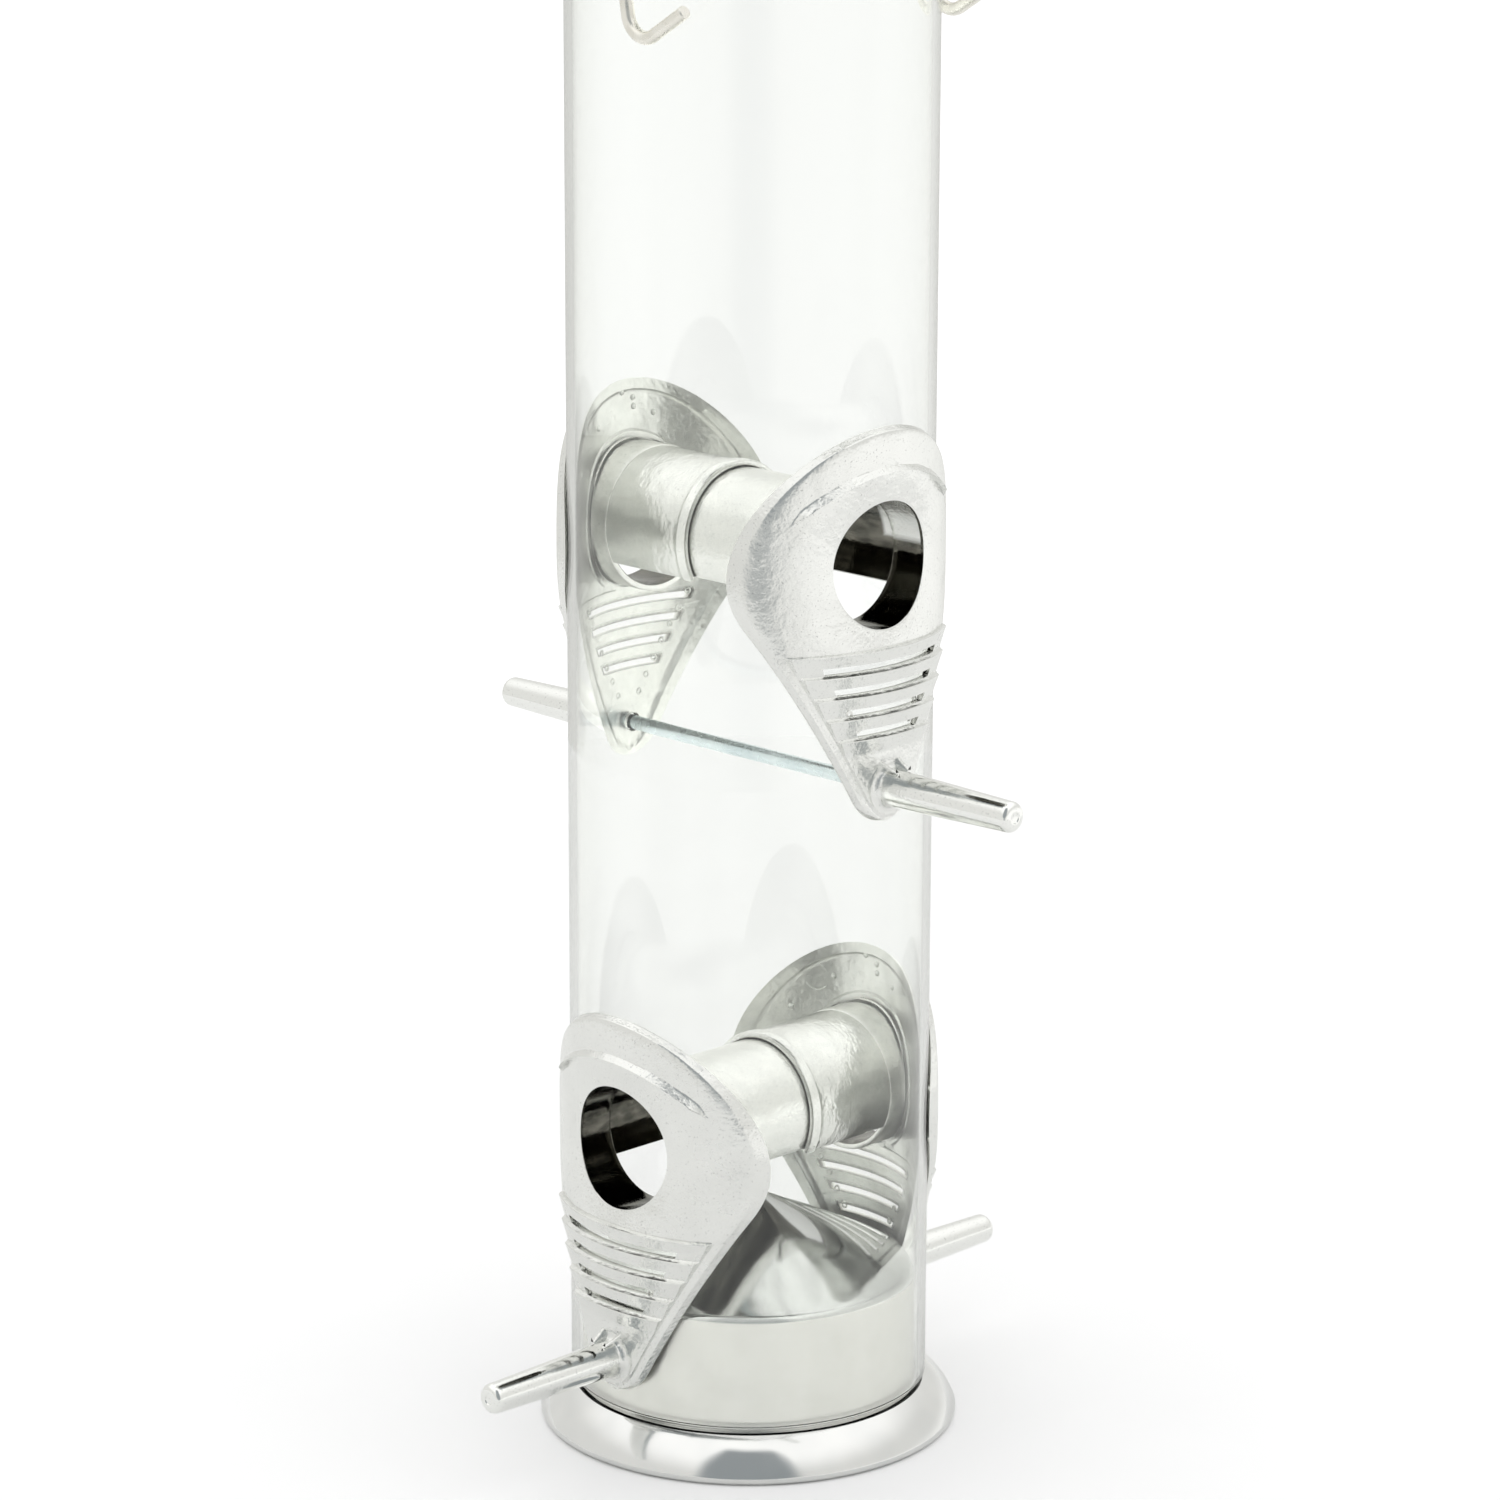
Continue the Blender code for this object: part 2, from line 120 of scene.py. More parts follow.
world = bpy.data.worlds.new("white_room")
bpy.context.scene.world = world
world.use_nodes = True
room = world.node_tree
room.nodes.clear()
towards = node(room, "TexCoord").outputs["Generated"]
split = node(room, "SeparateXYZ", {0: towards})
flat = node(room, "VectorMath", {0: towards, 1: (1.0, 1.0, 0.0)}, operation="MULTIPLY").outputs[0]
compass = node(room, "VectorMath", {0: flat}, operation="NORMALIZE").outputs[0]
gap_way = (math.sin(CAMERA_TURN), -math.cos(CAMERA_TURN), 0.0)
cosine = node(room, "VectorMath", {0: compass, 1: gap_way}, operation="DOT_PRODUCT").outputs["Value"]
right_way = (math.cos(CAMERA_TURN), math.sin(CAMERA_TURN), 0.0)
rightwards = node(room, "VectorMath", {0: compass, 1: right_way},
                  operation="DOT_PRODUCT").outputs["Value"]
upwards = ramp(room, split.outputs["Z"], 0.35, 0.85)
low = ramp(room, split.outputs["Z"], -0.05, 0.20, 1.0, 0.0)
lighter = maths(room, "MULTIPLY", low, ramp(room, rightwards, 0.0, 1.0, 0.0, 0.8))
walls = mixed(room, maths(room, "MAXIMUM", upwards, lighter), ROOM_SIDE, ROOM_OVERHEAD)
gap_side = ramp(room, maths(room, "MULTIPLY_ADD", low, GAP_LOW_SHIFT, cosine), *GAP_COSINE)
gap = maths(room, "MULTIPLY", gap_side, ramp(room, split.outputs["Z"], *GAP_TOP, 1.0, 0.0))
paths = node(room, "LightPath")
behind_plastic = ramp(room, paths.outputs["Transmission Depth"], 2.0, 3.0)
gap = maths(room, "MULTIPLY", gap, ramp(room, behind_plastic, 0.0, 1.0, 1.0, GAP_BEHIND_PLASTIC))
walls = mixed(room, gap, walls, ROOM_GAP)
mirrored = maths(room, "MINIMUM", paths.outputs["Glossy Depth"], 1.0)
behind_both = ramp(room, paths.outputs["Transmission Depth"], 5.0, 7.0, 0.0, EXTRA_BEHIND_BOTH_WALLS)
extra = maths(room, "MULTIPLY_ADD", behind_plastic, EXTRA_BEHIND_ONE_WALL, behind_both)
boost = maths(room, "MULTIPLY_ADD", extra, mirrored, 1.0)
light = mixed(room, mirrored, ROOM_WHITE, walls)
glow = node(room, "Background", {"Color": light, "Strength": boost})
node(room, "OutputWorld", {"Surface": glow.outputs[0]})

FLOOR_RADIUS = 0.5
floor_work = bmesh.new()
bmesh.ops.create_circle(floor_work, cap_ends=True, segments=96, radius=FLOOR_RADIUS)
floor_mesh = bpy.data.meshes.new("floor")
floor_work.to_mesh(floor_mesh)
floor_work.free()
floor = bpy.data.objects.new("floor", floor_mesh)
floor.location.z = -0.05 * MM
bpy.context.scene.collection.objects.link(floor)


def new_material(name):
    """A material with only its output and shader; returns the material, its tree and the shader."""
    material = bpy.data.materials.new(name)
    material.use_nodes = True
    tree = material.node_tree
    return material, tree, tree.nodes["Principled BSDF"]


floor_paint, tree, shader = new_material("floor_paint")
speckle = node(tree, "TexNoise", {"Scale": 30.0, "Detail": 4.0}).outputs[0]
fill(tree, shader, {"Base Color": mixed(tree, speckle, (0.95, 0.95, 0.95), (0.98, 0.98, 0.98)),
                    "Roughness": 0.7})
floor_mesh.materials.append(floor_paint)

# ------------------------------------------------------------------ tube
# A length of clear extruded plastic tube, sawn square, with its rims eased. A round hole is cut
# for each port's hood and a small one for each end of each tie rod.

TUBE_LOW, TUBE_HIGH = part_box("tube")
TUBE_RADIUS = TUBE_HIGH.x
TUBE_WALL = 1.5 * MM
RIM_ROUND = 0.25 * MM
TUBE_STEPS = 240


def arc(centre, radius, first, last, count):
    """Points (n, 2) of a circle, or of an ellipse when radius is a pair, from angle first to last."""
    angle = np.linspace(first, last, count)
    across, along = np.broadcast_to(radius, 2)
    return np.stack([centre[0] + across * np.cos(angle), centre[1] + along * np.sin(angle)], -1)


def grid_shell(points, rows_close=False, columns_close=False, capped=False, marks=(0.0, 0.0, 0.0)):
    """Quads over a (rows, columns, 3) grid of points; a closed direction wraps round, and capped
    closes the first and last row with one face. Coincident points merge, so that poles close."""
    rows, columns = points.shape[:2]
    row = np.arange(rows if rows_close else rows - 1)[:, None]
    column = np.arange(columns if columns_close else columns - 1)[None, :]
    next_row = (row + 1) % rows * columns
    next_column = (column + 1) % columns
    row = row * columns
    quads = np.stack(np.broadcast_arrays(row + column, next_row + column, next_row + next_column,
                                         row + next_column), -1).reshape(-1, 4)
    marks = np.broadcast_to(np.asarray(marks, float), (rows, columns, 3)).reshape(-1, 3)
    caps = [np.arange(columns), np.arange(columns) + (rows - 1) * columns] if capped else []
    return merged(points.reshape(-1, 3), quads, marks, caps)


def merged(points, quads, marks, caps=()):
    """A shell (points, polygons, marks) with coincident points made one and flat faces left out."""
    keys = np.round(points / 1e-7).astype(np.int64)
    first, inverse = np.unique(keys, axis=0, return_index=True, return_inverse=True)[1:]
    inverse = inverse.reshape(-1)
    quads = inverse[quads]
    ordered = np.sort(quads, axis=1)
    whole = (ordered[:, 1:] != ordered[:, :-1]).all(axis=1)
    polygons = quads[whole].tolist()
    for corners in quads[~whole].tolist() + [inverse[cap].tolist() for cap in caps]:
        corners = list(dict.fromkeys(corners))
        if len(corners) > 2:
            polygons.append(corners)
    return points[first], polygons, marks[first]


SHARP_ANGLE = math.radians(35.0)


def mesh_of(name, shells):
    """One mesh of several closed shells, normals outwards, with the marks as the attribute finish: red
    where the metal is coloured darker (on the castings, the near-black bore and painted shade in the
    slots), green where it is satin (on the castings, the back, made paler partly as painted light),
    blue where it is polished."""
    mesh = bpy.data.meshes.new(name)
    points, polygons, marks = [], [], []
    for shell_points, shell_polygons, shell_marks in shells:
        start = sum(len(block) for block in points)
        points.append(shell_points)
        marks.append(shell_marks)
        polygons += [[corner + start for corner in corners] for corners in shell_polygons]
    points = np.concatenate(points)
    marks = np.concatenate(marks)
    mesh.from_pydata(points.tolist(), [], polygons)
    layer = mesh.attributes.new("finish", "FLOAT_COLOR", "POINT")
    layer.data.foreach_set("color", np.hstack([marks, np.ones((len(marks), 1))]).ravel())
    work = bmesh.new()
    work.from_mesh(mesh)
    bmesh.ops.recalc_face_normals(work, faces=work.faces)
    work.to_mesh(mesh)
    work.free()
    mesh.shade_smooth()
    mesh.set_sharp_from_angle(angle=SHARP_ANGLE)
    return mesh


def revolved(profile, steps, axis="Z", marks=(0.0, 0.0, 0.0)):
    """Points at (radius, height) carried round an axis: x = r cos a, y = r sin a, z = h, with Z
    renamed to the axis asked for. A profile that starts and ends on the axis closes there."""
    angle = np.linspace(0.0, math.tau, steps, endpoint=False)[:, None]
    radius, height = profile[None, :, 0], profile[None, :, 1]
    ring = [radius * np.cos(angle), radius * np.sin(angle), height + 0.0 * angle]
    order = {"Z": (0, 1, 2), "X": (2, 0, 1), "Y": (1, 2, 0)}[axis]
    points = np.stack([ring[index] for index in order], -1)
    on_axis = profile[0, 0] < 1e-9
    return grid_shell(points, rows_close=True, columns_close=not on_axis, marks=marks)


def add_piece(name, mesh, material, body, slot, *nodes):
    """Puts a finished mesh in the scene, on its body, in place of its CAD nodes."""
    piece = bpy.data.objects.new(name, mesh)
    bpy.context.scene.collection.objects.link(piece)
    mesh.materials.clear()
    mesh.materials.append(material)
    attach(piece, body)
    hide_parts(*nodes)


def drilled(mesh, drills):
    """The mesh with round holes through it. A drill is (centre, direction, radius, length)."""
    target = bpy.data.objects.new("target", mesh)
    bpy.context.scene.collection.objects.link(target)
    tools = []
    for centre, direction, radius, length in drills:
        work = bmesh.new()
        bmesh.ops.create_cone(work, cap_ends=True, segments=72, radius1=radius, radius2=radius,
                              depth=length)
        tool = bpy.data.objects.new("drill", bpy.data.meshes.new("drill"))
        work.transform(Matrix.Translation(centre)
                       @ Vector(direction).to_track_quat("Z", "X").to_matrix().to_4x4())
        work.to_mesh(tool.data)
        work.free()
        bpy.context.scene.collection.objects.link(tool)
        cut = target.modifiers.new("cut", "BOOLEAN")
        cut.operation = "DIFFERENCE"
        cut.object = tool
        tools.append(tool)
    bpy.context.view_layer.update()
    graph = bpy.context.evaluated_depsgraph_get()
    result = bpy.data.meshes.new_from_object(target.evaluated_get(graph))
    for spent in [target, *tools]:
        bpy.data.objects.remove(spent)
    return result


def true_round(mesh, lowest_cosine=0.97):
    """Gives the corners of faces on a cylinder about Z the cylinder's own normal: the sideways
    direction from the axis, with the face's sign. Other faces keep their flat normal."""
    corners = len(mesh.loops)
    vertex = np.empty(corners, np.int32)
    mesh.loops.foreach_get("vertex_index", vertex)
    place = np.empty(len(mesh.vertices) * 3, np.float32)
    mesh.vertices.foreach_get("co", place)
    place = place.reshape(-1, 3)[vertex]
    totals = np.empty(len(mesh.polygons), np.int32)
    mesh.polygons.foreach_get("loop_total", totals)
    facing = np.empty(len(mesh.polygons) * 3, np.float32)
    mesh.polygons.foreach_get("normal", facing)
    facing = np.repeat(facing.reshape(-1, 3), totals, axis=0)
    radial = place * (1.0, 1.0, 0.0)
    radial /= np.linalg.norm(radial, axis=1, keepdims=True)
    cosine = (radial * facing).sum(axis=1, keepdims=True)
    normals = np.where(np.abs(cosine) > lowest_cosine, radial * np.sign(cosine), facing)
    mesh.normals_split_custom_set(normals.tolist())


# Heights over the perch, hole sizes by side, and each port's level, side and turn about the axis.
HOLE_Z = 38.5 * MM
HOLE_RADIUS = {"near": 11.0 * MM, "far": 11.9 * MM}
HOLE_FIT = 1.6 * MM
ROD_RADIUS = 1.3 * MM
ROD_FIT = 0.4 * MM
PERCH_Z = {level: sum(corner.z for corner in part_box(f"tie_rod_{level}")) / 2
           for level in ("upper", "lower")}
PORTS = {
    "port_upper_near": ("upper", "near", 0.0),
    "port_upper_far": ("upper", "far", math.pi),
    "port_lower_near": ("lower", "near", -math.pi / 2),
    "port_lower_far": ("lower", "far", math.pi / 2),
}

tube_inner = TUBE_RADIUS - TUBE_WALL
tube_section = np.concatenate([
    arc((TUBE_RADIUS - RIM_ROUND, TUBE_HIGH.z - RIM_ROUND), RIM_ROUND, math.pi / 2, 0.0, 5),
    arc((TUBE_RADIUS - RIM_ROUND, TUBE_LOW.z + RIM_ROUND), RIM_ROUND, 0.0, -math.pi / 2, 5),
    arc((tube_inner + RIM_ROUND, TUBE_LOW.z + RIM_ROUND), RIM_ROUND, -math.pi / 2, -math.pi, 5),
    arc((tube_inner + RIM_ROUND, TUBE_HIGH.z - RIM_ROUND), RIM_ROUND, math.pi, math.pi / 2, 5),
])
tube_drills = []
for level, side, turn in PORTS.values():
    outwards = (math.cos(turn), math.sin(turn), 0.0)
    for radius, rise in ((HOLE_RADIUS[side] + HOLE_FIT, HOLE_Z), (ROD_RADIUS + ROD_FIT, 0.0)):
        centre = Vector(outwards) * TUBE_RADIUS + Vector((0.0, 0.0, PERCH_Z[level] + rise))
        tube_drills.append((centre, outwards, radius, TUBE_RADIUS))
tube_mesh = drilled(mesh_of("tube_wall", [revolved(tube_section, TUBE_STEPS)]), tube_drills)
true_round(tube_mesh)


def new_group(name, output, **inputs):
    """A node group of number sockets with start values; returns it, what it is given, its result."""
    tree = bpy.data.node_groups.new(name, "ShaderNodeTree")
    for title, start in inputs.items():
        socket = tree.interface.new_socket(title, in_out="INPUT", socket_type="NodeSocketFloat")
        socket.default_value = start
    tree.interface.new_socket(output, in_out="OUTPUT", socket_type="NodeSocketFloat")
    result = tree.nodes.new("NodeGroupOutput").inputs[output]
    return tree, tree.nodes.new("NodeGroupInput").outputs, result


def mottle_group():
    """Node group: soft uneven patches of a given size (metres) as a value from low to high."""
    tree, given, result = new_group("soft_mottle", "Value", Size=5 * MM, Stretch=1.0, Low=0.0, High=1.0)
    place = node(tree, "TexCoord").outputs["Object"]
    frequency = maths(tree, "DIVIDE", 1.0, given["Size"])
    upwards = maths(tree, "DIVIDE", frequency, given["Stretch"])
    scale = node(tree, "CombineXYZ", {0: frequency, 1: frequency, 2: upwards}).outputs[0]
    scaled = node(tree, "VectorMath", {0: place, 1: scale}, operation="MULTIPLY").outputs[0]
    noise = node(tree, "TexNoise", {"Vector": scaled, "Scale": 1.0, "Detail": 1.5}).outputs[0]
    value = node(tree, "MapRange", {"Value": noise, "From Min": 0.3, "From Max": 0.7,
                                    "To Min": given["Low"], "To Max": given["High"]}).outputs[0]
    tree.links.new(value, result)
    return tree


SOFT_MOTTLE = mottle_group()


def mottle(tree, size, low=0.0, high=1.0, stretch=1.0):
    """Output of the soft mottle group with its own values."""
    return node(tree, "Group", {"Size": size, "Stretch": stretch, "Low": low, "High": high},
                node_tree=SOFT_MOTTLE).outputs["Value"]


def clear_plastic():
    """Clear extruded plastic: faint grey-green tint in soft upright bands, light handling haze."""
    material, tree, shader = new_material("clear_plastic")
    bands = mottle(tree, 9 * MM, stretch=40.0)
    middle = mixed(tree, bands, (0.900, 0.908, 0.896), (0.918, 0.925, 0.915))
    edge = ramp(tree, node(tree, "LayerWeight", {"Blend": 0.5}).outputs["Facing"], 0.25, 0.9)
    fill(tree, shader, {
        "Base Color": mixed(tree, edge, middle, (0.80, 0.81, 0.795)),
        "Roughness": mottle(tree, 14 * MM, 0.0, 0.02, stretch=3.0),
        "Transmission Weight": 1.0,
        "IOR": 1.49,
    })
    return material


add_piece("tube_wall", tube_mesh, clear_plastic(), "feeder", "tube", "tube")

# ------------------------------------------------------------------ base
# One disc of aluminium spun over a former: a seed cone, a cup wall that plugs the tube, and a
# bulged flange with a rolled edge. Polished, with a satin cup wall; the lower rod goes through it.

BASE_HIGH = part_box("base")[1]
SHEET = 1.0 * MM
FLANGE_TOP_Z = 7.6 * MM
FLANGE_BEAD = 1.2 * MM
BEAD_START = 0.2
FLANGE_BULGE = 11.9 * MM
CUP_RADIUS = 29.9 * MM
CUP_SHOULDER = 1.6 * MM
CUP_SHOULDER_Z = 28.8 * MM
CUP_FOOT_ROUND = 1.1 * MM
CONE_NOSE = 5.0 * MM
SPUN_STEPS = 192


def offset_line(points, distance):
    """The line (n, 2) moved sideways to its right by a distance, along its own normals."""
    along = np.gradient(points, axis=0)
    along /= np.linalg.norm(along, axis=1, keepdims=True)
    moved = points + distance * np.stack([along[:, 1], -along[:, 0]], -1)
    moved[:, 0] = np.maximum(moved[:, 0], 0.0)
    return moved


def flange_line():
    """Bulge of the flange as one arc between its top corner and its bead, then round the bead."""
    bead = (BASE_HIGH.x - FLANGE_BEAD, FLANGE_BEAD)
    start = np.array([TUBE_RADIUS, FLANGE_TOP_Z])
    end = arc(bead, FLANGE_BEAD, BEAD_START, BEAD_START, 1)[0]
    chord = end - start
    half_turn = math.asin(np.linalg.norm(chord) / 2 / FLANGE_BULGE)
    along = math.atan2(chord[1], chord[0])
    inward = np.array([math.cos(along - math.pi / 2), math.sin(along - math.pi / 2)])
    centre = (start + end) / 2 + inward * FLANGE_BULGE * math.cos(half_turn)
    middle = along + math.pi / 2
    bulge = arc(centre, FLANGE_BULGE, middle + half_turn, middle - half_turn, 24)
    return np.concatenate([bulge, arc(bead, FLANGE_BEAD, BEAD_START, -math.pi / 2, 12)[1:]])


def cone_line():
    """Rounded nose, straight cone and rounded shoulder, from the axis outwards."""
    shoulder_centre = (CUP_RADIUS - CUP_SHOULDER, CUP_SHOULDER_Z - CUP_SHOULDER)
    fall = math.atan2(BASE_HIGH.z - CUP_SHOULDER_Z, CUP_RADIUS)
    lean = math.pi / 2 - fall
    nose_centre = (0.0, BASE_HIGH.z - CONE_NOSE)
    nose = arc(nose_centre, CONE_NOSE, math.pi / 2, lean, 8)
    shoulder = arc(shoulder_centre, CUP_SHOULDER, lean, 0.0, 9)
    run = np.linspace(nose[-1], shoulder[0], 22)[1:-1]
    return np.concatenate([nose, run, shoulder])


cup_foot = arc((CUP_RADIUS + CUP_FOOT_ROUND, FLANGE_TOP_Z + CUP_FOOT_ROUND), CUP_FOOT_ROUND,
               math.pi, math.pi * 1.5, 7)
cup_wall = np.linspace((CUP_RADIUS, CUP_SHOULDER_Z - CUP_SHOULDER), cup_foot[0], 14)[1:-1]
base_outer = np.concatenate([cone_line(), cup_wall, cup_foot, flange_line()])
base_under = offset_line(base_outer, SHEET)
base_under = base_under[base_under[:, 1] > SHEET * 1.8]
base_under[0, 0] = 0.0
hem_x = BASE_HIGH.x - FLANGE_BEAD * 2.5
hem = np.array([[hem_x, 0.0], [hem_x - 0.2 * MM, 0.2 * MM], [hem_x, SHEET]])
base_line = np.concatenate([base_outer, hem, base_under[::-1]])
WALL_SLACK = 0.05 * MM
on_wall = np.abs(base_line[:, 0] - CUP_RADIUS) < WALL_SLACK
base_marks = np.zeros((SPUN_STEPS, len(base_line), 3))
base_marks[:, :, 0] = base_line[:, 0] < CUP_RADIUS + WALL_SLACK
base_marks[:, :, 1] = on_wall
base_mesh = mesh_of("base_spinning", [revolved(base_line, SPUN_STEPS, marks=base_marks)])
rod_line = Vector((0.0, 0.0, PERCH_Z["lower"]))
base_mesh = drilled(base_mesh, [(rod_line, (0.0, 1.0, 0.0), ROD_RADIUS + ROD_FIT, 2 * TUBE_RADIUS)])
base_mesh.set_sharp_from_angle(angle=SHARP_ANGLE)


def turning_group():
    """Node group: fine lines left by the spinning tool, the same all the way round, as a height."""
    tree, given, result = new_group("turning_lines", "Height", Pitch=0.3 * MM)
    place = node(tree, "TexCoord").outputs["Object"]
    flat = node(tree, "VectorMath", {0: place, 1: (1.0, 1.0, 0.0)}, operation="MULTIPLY").outputs[0]
    radius = node(tree, "VectorMath", {0: flat}, operation="LENGTH").outputs["Value"]
    height = node(tree, "SeparateXYZ", {0: place}).outputs["Z"]
    line = node(tree, "CombineXYZ", {0: radius, 1: height, 2: 0.0}).outputs[0]
    frequency = maths(tree, "DIVIDE", 1.0, given["Pitch"])
    noise = node(tree, "TexNoise", {"Vector": line, "Scale": frequency, "Detail": 2.0}).outputs[0]
    tree.links.new(noise, result)
    return tree


TURNING_LINES = turning_group()


def spun_aluminium(name, satin_share):
    """Spun and polished aluminium: mirror bright with a slight ripple, darker where it is marked
    red, and satin by the share given where it is marked green."""
    material, tree, shader = new_material(name)
    finish = node(tree, "Attribute", attribute_name="finish").outputs["Color"]
    marks = node(tree, "SeparateColor", {0: finish}).outputs
    satin = maths(tree, "MULTIPLY", marks["Green"], satin_share)
    lines = node(tree, "Group", {"Pitch": 0.35 * MM}, node_tree=TURNING_LINES).outputs["Height"]
    ripple = mottle(tree, 16 * MM)
    bright = mixed(tree, mottle(tree, 8 * MM), (0.83, 0.835, 0.83), (0.89, 0.89, 0.88))
    bright = mixed(tree, marks["Red"], bright, (0.60, 0.61, 0.60))
    dull = mixed(tree, mottle(tree, 3 * MM), (0.80, 0.795, 0.765), (0.83, 0.825, 0.80))
    rough = maths(tree, "MULTIPLY_ADD", satin, 0.28, mottle(tree, 6 * MM, 0.08, 0.14))
    waves = node(tree, "Bump", {"Strength": 0.13, "Distance": 1.2 * MM, "Height": ripple}).outputs[0]
    grain = node(tree, "Bump", {"Strength": 0.12, "Distance": 0.02 * MM, "Height": lines,
                                "Normal": waves}).outputs[0]
    fill(tree, shader, {"Base Color": mixed(tree, satin, bright, dull), "Metallic": 1.0,
                        "Roughness": rough, "Normal": grain})
    return material


add_piece("base_spinning", base_mesh, spun_aluminium("base_aluminium", 1.0), "feeder", "base",
          "base")

# ------------------------------------------------------------------ ports
# Four zinc die castings, bright plated. Each is a curved plate with a lip, a brow over the seed
# hole, louvre ribs with four slots, a hood through the tube's wall and a perch in one with it.

PLATE_EDGE = 32.45 * MM
PLATE_LIP = 33.45 * MM
PLATE_STEP = 33.5 * MM
PLATE_FACE = 33.9 * MM
PLATE_BORDER = 32.35 * MM
PLATE_BACK = 32.75 * MM
RIB_CREST = 34.6 * MM
LIP_WIDTH = 0.55 * MM
SHOULDER = 2.6 * MM
HEAD_Z = 37.0 * MM
HEAD_HALF_WIDTH = 25.5 * MM
HEAD_RISE = 25.4 * MM
HEAD_DROP = 21.0 * MM
TIP_Z = 1.4 * MM
TIP_RADIUS = 7.6 * MM
RIB_TOP_Z = 24.4 * MM
RIB_PITCH = 3.8 * MM
RIB_COUNT = 5
JOIN_Z = RIB_TOP_Z + 0.1 * MM
BORDER_WIDTH = 1.9 * MM
BORDER_EASE = 0.4 * MM
HOLE_BORDER = 2.5 * MM
RIB_INSET = 1.8 * MM
SEAM = 0.03 * MM


def rounded(share):
    """Quarter circle step: 0 at share 0, steep at first, flat at share 1."""
    return np.sqrt(1.0 - (1.0 - np.clip(share, 0.0, 1.0)) ** 2)


def eased(share):
    """Smooth step from 0 to 1."""
    share = np.clip(share, 0.0, 1.0)
    return share * share * (3.0 - 2.0 * share)


def plate_rim():
    """The plate's outline (y, z), evenly spaced: the hull of a round head and a round tip."""
    head = [arc((0.0, HEAD_Z), (HEAD_HALF_WIDTH, HEAD_RISE), 0.0, math.pi, 181),
            arc((0.0, HEAD_Z), (HEAD_HALF_WIDTH, HEAD_DROP), math.pi, math.tau, 181)]
    points = np.concatenate([*head, arc((0.0, TIP_Z), TIP_RADIUS, math.pi, math.tau, 91)])
    hull = points[convex_hull_2d(points.tolist())]
    ring = np.vstack([hull, hull[:1]])
    length = np.concatenate([[0.0], np.cumsum(np.hypot(*np.diff(ring, axis=0).T))])
    at = np.arange(0.0, length[-1], 0.1 * MM)
    return np.stack([np.interp(at, length, ring[:, axis]) for axis in (0, 1)], -1)


RIM = plate_rim()
BROW_LOW_CENTRE, BROW_LOW_RADIUS = 28.7 * MM, 26.3 * MM
BROW_HIGH_CENTRE, BROW_HIGH_RADIUS = 38.4 * MM, 20.6 * MM
BROW_HEIGHT = 1.25 * MM
BROW_SLOPE = 1.5
BROW_DROP = 0.12 * MM
HOLE_EASE = 0.15 * MM
DISH_DEPTH = 1.1 * MM
DISH_WIDTH = 8.0 * MM
JOIN_SINE = -0.2
NARROW = 6.0 * MM


def brow(y, z):
    """Height of the crescent over the hole. It stands proud along its lower circle, drops sharply
    below it, and falls at a steady slope above it, as high as its width between the circles allows."""
    over_low = np.hypot(y, z - BROW_LOW_CENTRE) - BROW_LOW_RADIUS
    under_high = BROW_HIGH_RADIUS - np.hypot(y, z - BROW_HIGH_CENTRE)
    crest = np.clip(BROW_SLOPE * (over_low + under_high), 0.0, BROW_HEIGHT)
    fall = np.maximum(crest - BROW_SLOPE * over_low, 0.0)
    return fall * np.clip(1.0 + over_low / BROW_DROP, 0.0, 1.0)


def on_drum(radius, y, z):
    """Points at a distance from the tube's axis, with y kept as it is: x = sqrt(r2 - y2)."""
    radius, y, z = np.broadcast_arrays(radius, y, z)
    return np.stack([np.sqrt(radius ** 2 - y ** 2), y, z], -1)


